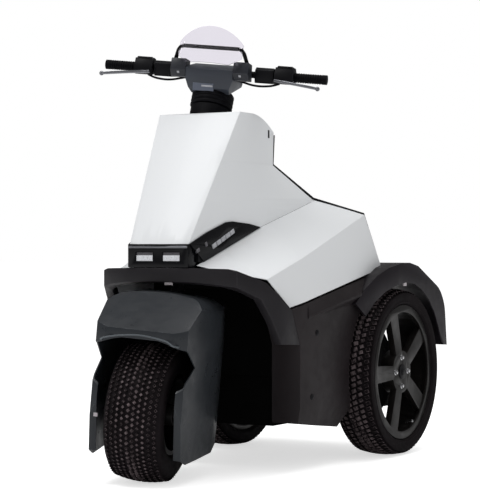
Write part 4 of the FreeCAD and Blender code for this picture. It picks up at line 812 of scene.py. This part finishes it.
class THREE_WHEELER_OT_rear_tyres(bpy.types.Operator):
    """Make the two rear tyres with their block tread"""

    bl_idname = "three_wheeler.rear_tyres"
    bl_label = "Rear Tyres"

    def execute(self, context):
        for side, centre in REAR_WHEEL.items():
            low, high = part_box("rear_tyre_" + side)
            radius = (high.z - low.z) / 2
            half = (high.y - low.y) / 2
            rim_radius = 0.228
            bm = blank_mesh()
            outline = tyre_outline(radius, half, rim_radius, radius * 0.87, sizes().tread_depth)
            add_turned(bm, outline, 120, Matrix())
            add_tread(bm, radius, half, rim_radius, sizes().rear_block_rows, sizes().rear_blocks_around, 1.56,
                      (0.014, 0.017), 0.84, 0.001, 20)
            bmesh.ops.transform(bm, matrix=Matrix.Translation(centre), verts=bm.verts)
            piece_from(bm, f"rear_tyre_{side}_tread", f"rear_wheel_{side}", "tyre_rubber",
                       replaces=("rear_tyre_" + side,))
        return {"FINISHED"}


# Wheels


class THREE_WHEELER_OT_wheels(bpy.types.Operator):
    """Make the rims with their lug bolts, caps, valves and brake discs"""

    bl_idname = "three_wheeler.wheels"
    bl_label = "Wheels"

    def execute(self, context):
        dress("front_rim", "front_wheel", "rim_enamel", sizes().fine_edge)
        for side, centre in REAR_WHEEL.items():
            outward = Vector((0, 1 if side == "left" else -1, 0))
            dress("rear_rim_" + side, "rear_wheel_" + side, "rim_enamel", sizes().fine_edge)
            self.add_hub(side, centre, outward)
            self.add_disc(side, centre, outward)
        return {"FINISHED"}

    def add_hub(self, side, centre, outward):
        """Four lug bolts with their washers, the cap between them, and the tyre's valve."""
        body = "rear_wheel_" + side
        face = centre + outward * 0.0595
        web = face - outward * 0.012
        lug_circle_radius = 0.05
        bolts = blank_mesh()
        for angle in self.spread(4):
            spot = web + self.around(lug_circle_radius, angle)
            add_drum(bolts, 0.0098, 0.0125, facing(spot, outward), 24, 0.0008)
            add_drum(bolts, 0.0068, 0.019, facing(spot, outward), 6, 0.0012)
        piece_from(bolts, f"lug_bolts_{side}", body, "bright_steel")
        cap = blank_mesh()
        cap_foot = face - outward * 0.001
        add_drum(cap, 0.026, 0.006, facing(cap_foot, outward), 40, 0.002)
        add_drum(cap, 0.012, 0.009, facing(cap_foot, outward), 28, 0.002)
        piece_from(cap, f"hub_cap_{side}", body, "black_plastic")
        valve = blank_mesh()
        valve_foot = web + Vector((-0.062, 0, -0.184))
        lean = outward + Vector((0.1, 0, 0.25))
        add_drum(valve, 0.0032, 0.026, facing(valve_foot, lean), 14, 0.0006)
        add_drum(valve, 0.0048, 0.010, facing(valve_foot + lean.normalized() * 0.018, lean), 14, 0.001)
        piece_from(valve, f"tyre_valve_{side}", body, "bright_steel")

    def add_disc(self, side, centre, outward):
        """The brake disc inboard of the rim, with a ring of vent bosses."""
        radius = 0.162
        bore = 0.020
        half_thick = 0.004
        chamfer = 0.002
        boss_circle_radius = 0.125
        inner = centre - outward * 0.058
        disc = blank_mesh()
        outline = [
            (-half_thick, bore), (-half_thick, radius - chamfer), (-half_thick + chamfer, radius),
            (half_thick - chamfer, radius), (half_thick, radius - chamfer), (half_thick, bore)]
        add_turned(disc, outline, 72, Matrix.Translation(inner))
        for angle in self.spread(10):
            spot = inner + self.around(boss_circle_radius, angle) + outward * 0.003
            add_drum(disc, 0.009, 0.003, facing(spot, outward), 16, 0.0006)
        piece_from(disc, f"brake_disc_{side}", "rear_wheel_" + side, "frame_coat")

    def spread(self, count):
        """Even angles all the way round."""
        return [math.tau * index / count for index in range(count)]

    def around(self, radius, angle):
        """A place on a circle about the wheel's axis."""
        return Vector((radius * math.cos(angle), 0, radius * math.sin(angle)))


# Body


class THREE_WHEELER_OT_white_shell(bpy.types.Operator):
    """Dress the nose and shoulders, with the bead along their rear edge and the nose's small slots"""

    bl_idname = "three_wheeler.white_shell"
    bl_label = "White Shell"

    def execute(self, context):
        for node in ("nose_fairing", "shoulder_panel_left", "shoulder_panel_right"):
            dress(node, "root", "shell_paint", sizes().shell_edge * 0.5, 2)
        dress("edge_trim", "root", "black_plastic", 0.0, smooth=50.0)
        slots = blank_mesh()
        slot_x = 0.076
        slot_z = 1.109
        for outward in (1, -1):
            spot, normal = face_at(("nose_fairing",), (slot_x, outward, slot_z), (0, -outward, 0))
            add_block(slots, facing(spot, normal), (0.010, 0.028, 0.003), 0.9, 0.0008)
        piece_from(slots, "nose_slots", "root", "black_plastic")
        return {"FINISHED"}


class THREE_WHEELER_OT_dark_panels(bpy.types.Operator):
    """Dress the bumper, side panels, fenders and cowl, with their bolts and markers"""

    bl_idname = "three_wheeler.dark_panels"
    bl_label = "Dark Panels"

    def execute(self, context):
        dress("front_bumper", "root", "bumper_plastic", sizes().panel_edge)
        markers = blank_mesh()
        tab, _ = face_at(("front_bumper",), (0.533, 0.036, 0.0), (0, 0, 1))
        add_block(markers, facing(tab - Vector((0, 0, 0.003)), (1, 0, 0)), (0.030, 0.011, 0.005), 0.86,
                  0.0012)
        for side in ("left", "right"):
            outward = 1 if side == "left" else -1
            dress("side_panel_" + side, "root", "panel_plastic", sizes().fine_edge)
            self.add_fender(side)
            self.add_bolts(side, outward)
            under = (-0.452, outward * 0.397, 0.3)
            edge, _ = face_at(("rear_fender_" + side,), under, (0, 0, 1))
            add_block(markers, facing(edge - Vector((0, 0, 0.004)), (0, outward, 0)), (0.024, 0.016, 0.004),
                      0.9, 0.0008)
        piece_from(markers, "markers", "root", "marker_lens")
        dress("inner_cowl", "root", "panel_plastic", sizes().fine_edge)
        return {"FINISHED"}

    def add_fender(self, side):
        """A fender with its rear top corner rounded wide and its other edges finely."""
        corner_radius = 0.070
        node = "rear_fender_" + side
        fender = node_mesh(node)
        corner = [e for e in fender.edges if self.is_corner(e)]
        round_edges(fender, corner_radius, 8, 50.0, corner, clamp=False)
        round_edges(fender, sizes().fine_edge, 2, 50.0)
        piece_from(fender, node + "_skin", "root", "fender_plastic", smooth=30.0,
                   replaces=(node,), face_out=False)

    def add_bolts(self, side, outward):
        """The two bolts of a side panel, each on its washer."""
        bolts = blank_mesh()
        for x, z in ((0.087, 0.451), (0.122, 0.244)):
            spot, normal = face_at(("side_panel_" + side,), (x, outward, z), (0, -outward, 0))
            add_drum(bolts, 0.0105, 0.0022, facing(spot, normal), 24, 0.0008)
            add_drum(bolts, 0.0062, 0.0042, facing(spot, normal), 6, 0.0006)
        piece_from(bolts, f"panel_bolts_{side}", "root", "black_plastic")

    def is_corner(self, edge):
        """Whether the edge is the fender's rear top corner, which runs across the vehicle."""
        first, second = (v.co for v in edge.verts)
        across = abs((second - first).normalized().y) > 0.97
        return (across and edge.is_manifold and first.x < -0.75
                and 50.0 < math.degrees(edge.calc_face_angle(0.0)) < 70.0)


class THREE_WHEELER_OT_headlamps(bpy.types.Operator):
    """Make the lamp strip and its two headlamps: bowl, ribbed bright band and frame"""

    bl_idname = "three_wheeler.headlamps"
    bl_label = "Headlamps"

    def execute(self, context):
        dress("lamp_strip", "root", "black_gloss", sizes().fine_edge)
        low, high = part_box("lamp_strip")
        lip = blank_mesh()
        across = (high.y - low.y) * 0.98
        add_block(lip, Matrix.Translation((high.x, 0, high.z - 0.009)), (0.006, across, 0.007), 1.0, 0.001)
        round_edges(lip, 0.001)
        piece_from(lip, "strip_lip", "root", "lever_alloy")
        low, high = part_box("headlamps")
        inner = min(abs(v.co.y) for v in frame["nodes"]["headlamps"].data.vertices)
        width = high.y - inner
        height = high.z - low.z
        depth = 0.016
        rib_count = 7
        rib_span = width * 0.86
        bowls = blank_mesh()
        bands = blank_mesh()
        rims = blank_mesh()
        for outward in (1, -1):
            middle = Vector((high.x, outward * (inner + width / 2), low.z + height / 2))
            add_block(bowls, facing(middle - Vector((depth / 2, 0, 0)), (1, 0, 0)), (width, height, depth))
            band = middle + Vector((0.0002, 0, -height * 0.16))
            add_block(bands, facing(band, (1, 0, 0)), (width * 0.96, height * 0.62, 0.003), 0.98, 0.0006)
            for step in range(rib_count):
                rib = band + Vector((0.0016, (step / (rib_count - 1) - 0.5) * rib_span, 0))
                add_block(bands, facing(rib, (1, 0, 0)), (width * 0.06, height * 0.58, 0.0016), 0.6)
            for sign in (1, -1):
                bar = middle + Vector((0.001, 0, sign * height * 0.5))
                post = middle + Vector((0.001, sign * width * 0.5, 0))
                add_block(rims, facing(bar, (1, 0, 0)), (width + 0.003, 0.003, 0.005), 0.9)
                add_block(rims, facing(post, (1, 0, 0)), (0.003, height, 0.005), 0.9)
        piece_from(bowls, "headlamp_bowls", "root", "alloy_dark", replaces=("headlamps",))
        piece_from(bands, "headlamp_bands", "root", "reflector_silver")
        piece_from(rims, "headlamp_rims", "root", "black_gloss")
        return {"FINISHED"}


class THREE_WHEELER_OT_side_lamps(bpy.types.Operator):
    """Make the vents with their light bars and segments, and the tail lamps"""

    bl_idname = "three_wheeler.side_lamps"
    bl_label = "Side Lamps"

    def execute(self, context):
        dress("side_vents", "root", "black_gloss", sizes().fine_edge)
        dress("side_light_bars", "root", "black_gloss", 0.0006)
        start = Vector((0.424, 0.0, 0.732))
        end = Vector((0.312, 0.0, 0.786))
        travel = end - start
        count = 5
        gap = 0.0015
        markers = ((Vector((0.454, 0, 0.741)), (0.012, 0.015)), (Vector((0.494, 0, 0.722)), (0.018, 0.012)))
        segments = blank_mesh()
        dim = blank_mesh()
        gaskets = blank_mesh()
        for outward in (1, -1):
            for step in range(count):
                middle = start + travel * ((step + 0.5) / count)
                self.lay(segments, middle, outward, travel, (travel.length / count - gap, 0.0155))
            for middle, size in markers:
                self.lay(dim, middle, outward, travel, size)
            add_block(gaskets, Matrix.Translation((0.474, outward * 0.1125, 0.702)), (0.030, 0.014, 0.034))
        piece_from(segments, "light_bar_segments", "root", "bar_lens")
        piece_from(gaskets, "vent_gaskets", "root", "black_plastic")
        piece_from(dim, "side_markers", "root", "alloy_dark")
        dress("tail_lamps", "root", "tail_lens", sizes().fine_edge)
        self.add_tail_ribs()
        return {"FINISHED"}

    def add_tail_ribs(self):
        """Upright ribs on the two tail lamps."""
        low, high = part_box("tail_lamps")
        margin = 0.008
        pitch = 0.017
        behind = -1.2
        ribs = blank_mesh()
        for outward in (1, -1):
            for step in range(6):
                y = outward * (high.y - 0.012 - pitch * step)
                ends = [face_at(("tail_lamps",), (behind, y, z), (1, 0, 0))[0]
                        for z in (low.z + margin, high.z - margin)]
                add_tube(ribs, ends, 0.0018)
        piece_from(ribs, "tail_ribs", "root", "tail_lens")

    def lay(self, bm, middle, outward, travel, size):
        """Lay a flat segment on the vent's face, its long side along the bar."""
        beside = (middle.x, outward, middle.z)
        spot, normal = face_at(("side_vents", "side_light_bars"), beside, (0, -outward, 0))
        along = travel - normal * travel.dot(normal)
        across = normal.cross(along)
        turn = Matrix((along.normalized(), across.normalized(), normal)).transposed().to_4x4()
        add_block(bm, Matrix.Translation(spot) @ turn, (*size, 0.006), 0.9, 0.0008)


class THREE_WHEELER_OT_fork(bpy.types.Operator):
    """Dress the fork, axle, stem and the shroud over the front wheel, with the lip of its window"""

    bl_idname = "three_wheeler.fork"
    bl_label = "Fork and Shroud"

    def execute(self, context):
        dress("front_shroud", "steering", "shroud_plastic", 0.0014)
        for node in ("fork_leg_left", "fork_leg_right", "fork_crown", "shroud_bridge", "steering_stem"):
            dress(node, "steering", "frame_coat", 0.0015)
        dress("front_axle", "steering", "bright_steel", 0.0015)
        # The window's rolled lip; its pale finish is a painted highlight along the edge.
        lip = blank_mesh()
        rise = ((0.127, 0.432), (0.122, 0.446), (0.080, 0.461))
        arch = [(-y, z) for y, z in rise] + [(0.0, 0.470)] + list(reversed(rise))
        add_tube(lip, smooth_path([self.front_face(y, z) for y, z in arch]), 0.0028)
        bmesh.ops.transform(lip, matrix=STEERED, verts=lip.verts)
        piece_from(lip, "window_lip", "steering", "lip_painted_highlight")
        nuts = blank_mesh()
        low, high = straight_box("front_axle")
        middle = (low + high) / 2
        fork_face = 0.131
        for outward in (1, -1):
            end = Vector((middle.x, outward * fork_face, middle.z))
            add_drum(nuts, 0.018, 0.0025, facing(end, (0, outward, 0)), 32, 0.0006)
            add_drum(nuts, 0.0145, 0.010, facing(end, (0, outward, 0)), 6, 0.0014)
        bmesh.ops.transform(nuts, matrix=STEERED, verts=nuts.verts)
        piece_from(nuts, "fork_nuts", "steering", "lever_alloy")
        marker = blank_mesh()
        blade = self.front_face(-0.126, 0.212)
        add_block(marker, facing(blade, (1, 0, 0)), (0.014, 0.012, 0.004), 0.9, 0.0008)
        bmesh.ops.transform(marker, matrix=STEERED, verts=marker.verts)
        piece_from(marker, "fork_marker", "steering", "marker_lens")
        return {"FINISHED"}

    def front_face(self, y, z):
        """The place on the shroud's front, with the steering straight ahead."""
        start = STEERED @ Vector((1.2, y, z))
        spot, _ = face_at(("front_shroud",), start, STEERED.to_3x3() @ Vector((-1, 0, 0)))
        return STEERED.inverted() @ spot


# Cockpit


class THREE_WHEELER_OT_controls(bpy.types.Operator):
    """Make the handlebar's ribbed grips, levers with ball ends, switch pods with buttons, and hoses"""

    bl_idname = "three_wheeler.controls"
    bl_label = "Controls"

    def execute(self, context):
        dress("handlebar", "steering", "frame_coat", sizes().fine_edge)
        dress("switch_pods", "steering", "black_plastic", sizes().panel_edge)
        dress("brake_levers", "steering", "lever_alloy", sizes().panel_edge)
        bar_low, bar_high = straight_box("handlebar")
        bar = (bar_low + bar_high) / 2
        grip_low, grip_high = straight_box("grips")
        outer = (grip_high.z - grip_low.z) / 2
        bore = (bar_high.z - bar_low.z) / 2 + 0.0002
        back = STEERED.inverted() @ frame["nodes"]["grips"].matrix_world
        inner_end = min(abs((back @ v.co).y) for v in frame["nodes"]["grips"].data.vertices)
        rib_pitch = sizes().grip_pitch
        collar = 0.006
        groove = outer - 0.0016
        rib_count = int((grip_high.y - inner_end - collar * 2) / rib_pitch)
        profile = [(inner_end, bore), (inner_end, outer), (inner_end + collar, outer)]
        for step in range(rib_count):
            start = inner_end + collar + rib_pitch * step
            profile += [(start + 0.001, groove), (start + 0.0035, groove),
                        (start + 0.0045, outer), (start + rib_pitch, outer)]
        profile += [(grip_high.y, outer), (grip_high.y, bore)]
        grips = blank_mesh()
        for outward in (1, -1):
            centre = Matrix.Translation((bar.x, 0, bar.z)) @ Matrix.Rotation(
                0.0 if outward == 1 else math.pi, 4, "Z")
            add_turned(grips, profile, 48, centre)
            end = Vector((bar.x, outward * (grip_high.y - 0.0022), bar.z))
            add_drum(grips, bore, 0.0024, facing(end, (0, outward, 0)), 32, 0.0008)
        bmesh.ops.transform(grips, matrix=STEERED, verts=grips.verts)
        piece_from(grips, "grips_ribbed", "steering", "grip_rubber", replaces=("grips",))
        self.add_small_controls()
        return {"FINISHED"}

    def add_small_controls(self):
        """Ball ends of the levers, buttons of the pods, brake caps, and the two hoses."""
        _, high = straight_box("brake_levers")
        back = STEERED.inverted() @ frame["nodes"]["brake_levers"].matrix_world
        spots = [back @ v.co for v in frame["nodes"]["brake_levers"].data.vertices]
        tips = [spot for spot in spots if spot.y > high.y - 0.004]
        tip = sum(tips, Vector()) / len(tips)
        pod_low, pod_high = straight_box("switch_pods")
        middle_z = (pod_low.z + pod_high.z) / 2
        cap_x = pod_low.x + 0.030
        hose_route = (
            (0.214, 0.226, 1.288), (0.218, 0.200, 1.279), (0.222, 0.165, 1.275),
            (0.224, 0.135, 1.277), (0.222, 0.105, 1.284), (0.220, 0.078, 1.290))
        balls = blank_mesh()
        buttons = blank_mesh()
        caps = blank_mesh()
        hoses = blank_mesh()
        for outward in (1, -1):
            ball = Matrix.Translation((tip.x, outward * (tip.y - 0.003), tip.z))
            bmesh.ops.create_uvsphere(balls, u_segments=20, v_segments=14, radius=0.0075, matrix=ball)
            for step, y in enumerate((0.156, 0.173, 0.190)):
                spot = Vector((pod_low.x, outward * y, middle_z + 0.004 * (step - 1)))
                add_drum(buttons, 0.0055, 0.003, facing(spot, (-1, 0, 0)), 20, 0.001)
            add_block(caps, facing((cap_x, outward * 0.241, pod_high.z), (0, 0, 1)),
                      (0.044, 0.050, 0.006), 0.92, 0.0012)
            for y in (0.222, 0.260):
                add_drum(caps, 0.003, 0.0042, facing((cap_x, outward * y, pod_high.z), (0, 0, 1)), 12)
            path = smooth_path([(x, outward * y, z) for x, y, z in hose_route])
            add_tube(hoses, path, 0.0036, 12)
        for bm, name, slot, finish_name in (
                (balls, "lever_ball_ends", "lever_alloy", "lever_alloy"),
                (buttons, "pod_buttons", "console_grey", "console_plastic"),
                (caps, "brake_caps", "black_plastic", "black_plastic"),
                (hoses, "brake_hoses", "grip_rubber", "grip_rubber")):
            bmesh.ops.transform(bm, matrix=STEERED, verts=bm.verts)
            piece_from(bm, name, "steering", finish_name)


class THREE_WHEELER_OT_console(bpy.types.Operator):
    """Make the console with its front plate, rear display and side pods, and the ribbed boot"""

    bl_idname = "three_wheeler.console"
    bl_label = "Console"

    def execute(self, context):
        dress("console", "steering", "console_plastic", sizes().panel_edge)
        dress("console_pods", "steering", "console_dark", sizes().panel_edge)
        dress("neck_boot", "steering", "grip_rubber", 0.003, 3)
        plate = blank_mesh()
        self.lay(plate, "console", (0, -0.018, 1.257), (1, 0, 0), (0.026, 0.072, 0.004))
        piece_from(plate, "console_plate", "steering", "console_plate")
        strip = blank_mesh()
        self.lay(strip, "console", (0, -0.004, 1.261), (1, 0, 0), (0.006, 0.040, 0.007))
        for y in (-0.105, 0.105):
            self.lay(strip, "console_pods", (0, y, 1.300), (1, 0, 0), (0.008, 0.008, 0.004))
        piece_from(strip, "console_strip", "steering", "bar_lens")
        display = blank_mesh()
        self.lay(display, "console", (0, 0, 1.318), (-1, 0, 0), (0.030, 0.084, 0.004))
        piece_from(display, "console_display", "steering", "black_gloss")
        keys = blank_mesh()
        for y in (-0.045, -0.015, 0.015, 0.045):
            self.lay(keys, "console", (0, y, 1.285), (-1, 0, 0), (0.009, 0.016, 0.005))
        piece_from(keys, "console_keys", "steering", "black_plastic")
        return {"FINISHED"}

    def lay(self, bm, node, spot, outward, size):
        """Lay a flat block on a steered node's face, given with the steering straight ahead."""
        way = Vector(outward)
        start = STEERED @ (Vector(spot) + way * 1.2)
        hit, normal = face_at((node,), start, STEERED.to_3x3() @ -way)
        across = STEERED.to_3x3() @ Vector((0, 1, 0))
        up = across.cross(normal) * (1 if way.x < 0 else -1)
        turn = Matrix((up.normalized(), normal.cross(up).normalized(), normal)).transposed().to_4x4()
        add_block(bm, Matrix.Translation(hit) @ turn, size, 0.94, 0.0008)


class THREE_WHEELER_OT_screen(bpy.types.Operator):
    """Dress the clear screen and its tube frame"""

    bl_idname = "three_wheeler.screen"
    bl_label = "Clear Screen"

    def execute(self, context):
        dress("windshield", "steering", "screen_glass", 0.0)
        dress("windshield_frame", "steering", "frame_coat", 0.0, smooth=50.0)
        return {"FINISHED"}


# Chassis


class THREE_WHEELER_OT_chassis(bpy.types.Operator):
    """Dress the tub, rear door, axles and inner frame, with the door's hinges and lock"""

    bl_idname = "three_wheeler.chassis"
    bl_label = "Chassis"

    def execute(self, context):
        for node, slot, finish_name in (
                ("chassis_tub", "chassis_black", "underseal_and_painted_shade"),
                ("rear_door", "chassis_black", "panel_plastic"),
                ("rear_axles", "steel", "frame_coat"),
                ("head_tube", "frame_black", "grip_rubber")):
            dress(node, "root", finish_name, sizes().fine_edge)
        carry("battery_pack", "black_plastic")
        carry("wheel_well_liner", "underseal_and_painted_shade")
        # A near-black plate across the back of the front wheel well: a dark sheet that paints the shade
        # there.
        plate = blank_mesh()
        plate_front_x = 0.1995
        plate_low_z = 0.312
        size = Vector((0.003, 0.464, 0.348))
        middle = (plate_front_x - size.x / 2, 0, plate_low_z + size.z / 2)
        add_block(plate, Matrix.Translation(middle), size)
        piece_from(plate, "well_painted_shade_plate", "root", "underseal_and_painted_shade")
        self.add_door_fittings()
        return {"FINISHED"}

    def add_door_fittings(self):
        """Two hinges and a lock on the rear door."""
        low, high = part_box("rear_door")
        pin_reach = 0.03
        fittings = blank_mesh()
        for y in (-0.14, 0.14):
            pin = [(low.x - 0.004, y + side * pin_reach, low.z + 0.012) for side in (-1, 1)]
            add_tube(fittings, pin, 0.006, 20)
            leaf = facing((low.x, y, low.z + 0.022), (-1, 0, 0))
            add_block(fittings, leaf, (0.050, 0.030, 0.005), 0.95, 0.0008)
        lock = facing((low.x, 0, high.z - 0.032), (-1, 0, 0))
        add_drum(fittings, 0.012, 0.005, lock, 32, 0.0012)
        add_drum(fittings, 0.007, 0.008, lock, 24, 0.0012)
        piece_from(fittings, "door_fittings", "root", "lever_alloy")


class THREE_WHEELER_OT_deck(bpy.types.Operator):
    """Dress the deck and its ribbed mat"""

    bl_idname = "three_wheeler.deck"
    bl_label = "Deck"

    def execute(self, context):
        dress("deck", "root", "deck_alloy", sizes().fine_edge)
        dress("deck_mat", "root", "grip_rubber", sizes().fine_edge)
        low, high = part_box("deck_mat")
        ribs = blank_mesh()
        pitch = sizes().mat_pitch
        margin = 0.01
        count = int((high.y - low.y - margin * 2) / pitch)
        middle = (low + high) / 2
        size = (high.x - low.x - margin * 3, 0.007, 0.003)
        for step in range(count):
            y = middle.y + pitch * (step - (count - 1) / 2)
            add_block(ribs, Matrix.Translation((middle.x, y, high.z)), size, 1.0, 0.0008)
        piece_from(ribs, "deck_ribs", "root", "grip_rubber")
        return {"FINISHED"}


# Stage


class THREE_WHEELER_OT_stage(bpy.types.Operator):
    """Set the pale floor, the soft lights and the camera"""

    bl_idname = "three_wheeler.stage"
    bl_label = "Stage"

    def execute(self, context):
        set_floor()
        set_world()
        set_lamps()
        set_camera()
        return {"FINISHED"}


def shown_ray(tree):
    """1 for what the camera or a clear piece sees, and 0 for the light on the object."""
    path = tree.nodes.new("ShaderNodeLightPath")
    total = maths(tree, "ADD", path.outputs["Is Camera Ray"], path.outputs["Is Transmission Ray"])
    return maths(tree, "MINIMUM", total, 1.0)


def set_floor():
    """A pale floor that looks white away from the object and keeps its shadow."""
    bm = bmesh.new()
    bmesh.ops.create_grid(bm, x_segments=1, y_segments=1, size=60.0)
    mesh = bpy.data.meshes.new("floor")
    bm.to_mesh(mesh)
    bm.free()
    floor = bpy.data.objects.new("floor", mesh)
    bpy.context.scene.collection.objects.link(floor)
    material, tree, shader, vector = new_shader("floor_paper")
    cloud = effect(tree, "Cloudy Mottle", vector, Scale=2.0)
    tree.links.new(mixed(tree, cloud, tone(246, 246, 246), tone(249, 249, 249)), shader.inputs["Base Color"])
    shader.inputs["Roughness"].default_value = 0.9
    shader.inputs["Specular IOR Level"].default_value = 0.0
    lift = tree.nodes.new("ShaderNodeEmission")
    tree.links.new(maths(tree, "MULTIPLY", shown_ray(tree), 0.62), lift.inputs["Strength"])
    joined = tree.nodes.new("ShaderNodeAddShader")
    tree.links.new(shader.outputs["BSDF"], joined.inputs[0])
    tree.links.new(lift.outputs["Emission"], joined.inputs[1])
    tree.links.new(joined.outputs["Shader"], tree.nodes["Material Output"].inputs["Surface"])
    mesh.materials.append(material)


def set_world():
    """Even soft light, white where the camera sees it and dimmer where a glossy face mirrors it."""
    world = bpy.data.worlds.new("studio")
    bpy.context.scene.world = world
    world.use_nodes = True
    tree = world.node_tree
    sky = tree.nodes["Background"]
    sky.inputs["Color"].default_value = (1.0, 1.0, 1.0, 1.0)
    ambient = 0.57
    mirrored = 0.22
    path = tree.nodes.new("ShaderNodeLightPath")
    shown = shown_ray(tree)
    seen = maths(tree, "MULTIPLY", shown, 1.0 - ambient)
    mirror_only = maths(tree, "MULTIPLY", path.outputs["Is Glossy Ray"], maths(tree, "SUBTRACT", 1.0, shown))
    dimmed = maths(tree, "MULTIPLY", mirror_only, mirrored - ambient)
    tree.links.new(maths(tree, "ADD", maths(tree, "ADD", seen, ambient), dimmed), sky.inputs["Strength"])


def set_lamps():
    """A wide key light above the front, and a soft one overhead."""
    for name, place, size, power in (
            ("key", (2.9, -1.6, 5.6), 2.6, 120.0),
            ("overhead", (-0.4, 1.2, 5.2), 3.6, 62.0)):
        data = bpy.data.lights.new(name, "AREA")
        data.shape = "DISK"
        data.size = size
        data.energy = power
        lamp = bpy.data.objects.new(name, data)
        bpy.context.scene.collection.objects.link(lamp)
        aim = Vector((0, 0, 0.6)) - Vector(place)
        lamp.matrix_world = Matrix.Translation(place) @ aim.to_track_quat("-Z", "Y").to_matrix().to_4x4()


def set_camera():
    """The long lens of the photograph, a third of the way round from the front."""
    place = (5.3201, 3.06, 0.735)
    azimuth = math.radians(30.0)
    dip = math.radians(0.15)
    photo_size = (480, 502)
    focal_pixels = 1800.0
    data = bpy.data.cameras.new("camera")
    data.sensor_width = 36.0
    data.lens = focal_pixels * data.sensor_width / max(photo_size)
    data.clip_end = 300.0
    level = math.cos(dip)
    forward = Vector((-math.cos(azimuth) * level, -math.sin(azimuth) * level, -math.sin(dip)))
    camera = bpy.data.objects.new("camera", data)
    bpy.context.scene.collection.objects.link(camera)
    turn = forward.to_track_quat("-Z", "Y").to_matrix().to_4x4()
    camera.matrix_world = Matrix.Translation(place) @ turn
    bpy.context.scene.camera = camera
    bpy.context.scene.view_settings.view_transform = "Standard"


class THREE_WHEELER_PT_sidebar(bpy.types.Panel):
    """Lists the vehicle's pieces in the order in which they are made"""

    bl_idname = "THREE_WHEELER_PT_sidebar"
    bl_label = "Three-wheeler"
    bl_space_type = "VIEW_3D"
    bl_region_type = "UI"
    bl_category = "Three-wheeler"

    def draw(self, context):
        column = self.layout.column(align=True)
        for operator in OPERATORS:
            column.operator(operator.bl_idname)
        for group in (colours(), sizes()):
            for name in group.__annotations__:
                column.prop(group, name)


OPERATORS = (
    THREE_WHEELER_OT_stage,
    THREE_WHEELER_OT_front_tyre,
    THREE_WHEELER_OT_rear_tyres,
    THREE_WHEELER_OT_wheels,
    THREE_WHEELER_OT_white_shell,
    THREE_WHEELER_OT_dark_panels,
    THREE_WHEELER_OT_headlamps,
    THREE_WHEELER_OT_side_lamps,
    THREE_WHEELER_OT_fork,
    THREE_WHEELER_OT_controls,
    THREE_WHEELER_OT_console,
    THREE_WHEELER_OT_screen,
    THREE_WHEELER_OT_chassis,
    THREE_WHEELER_OT_deck,
)
CLASSES = (ThreeWheelerColours, ThreeWheelerSizes, *OPERATORS, THREE_WHEELER_PT_sidebar)


def register():
    """Add the classes and the vehicle's properties."""
    for entry in CLASSES:
        bpy.utils.register_class(entry)
    bpy.types.Scene.three_wheeler_colours = bpy.props.PointerProperty(type=ThreeWheelerColours)
    bpy.types.Scene.three_wheeler_sizes = bpy.props.PointerProperty(type=ThreeWheelerSizes)


def unregister():
    """Take the classes and properties away again."""
    del bpy.types.Scene.three_wheeler_sizes
    del bpy.types.Scene.three_wheeler_colours
    for entry in reversed(CLASSES):
        bpy.utils.unregister_class(entry)


def main():
    """Make every piece in order."""
    register()
    for operator in OPERATORS:
        group, name = operator.bl_idname.split(".")
        getattr(getattr(bpy.ops, group), name)()


if __name__ == "__main__":
    main()
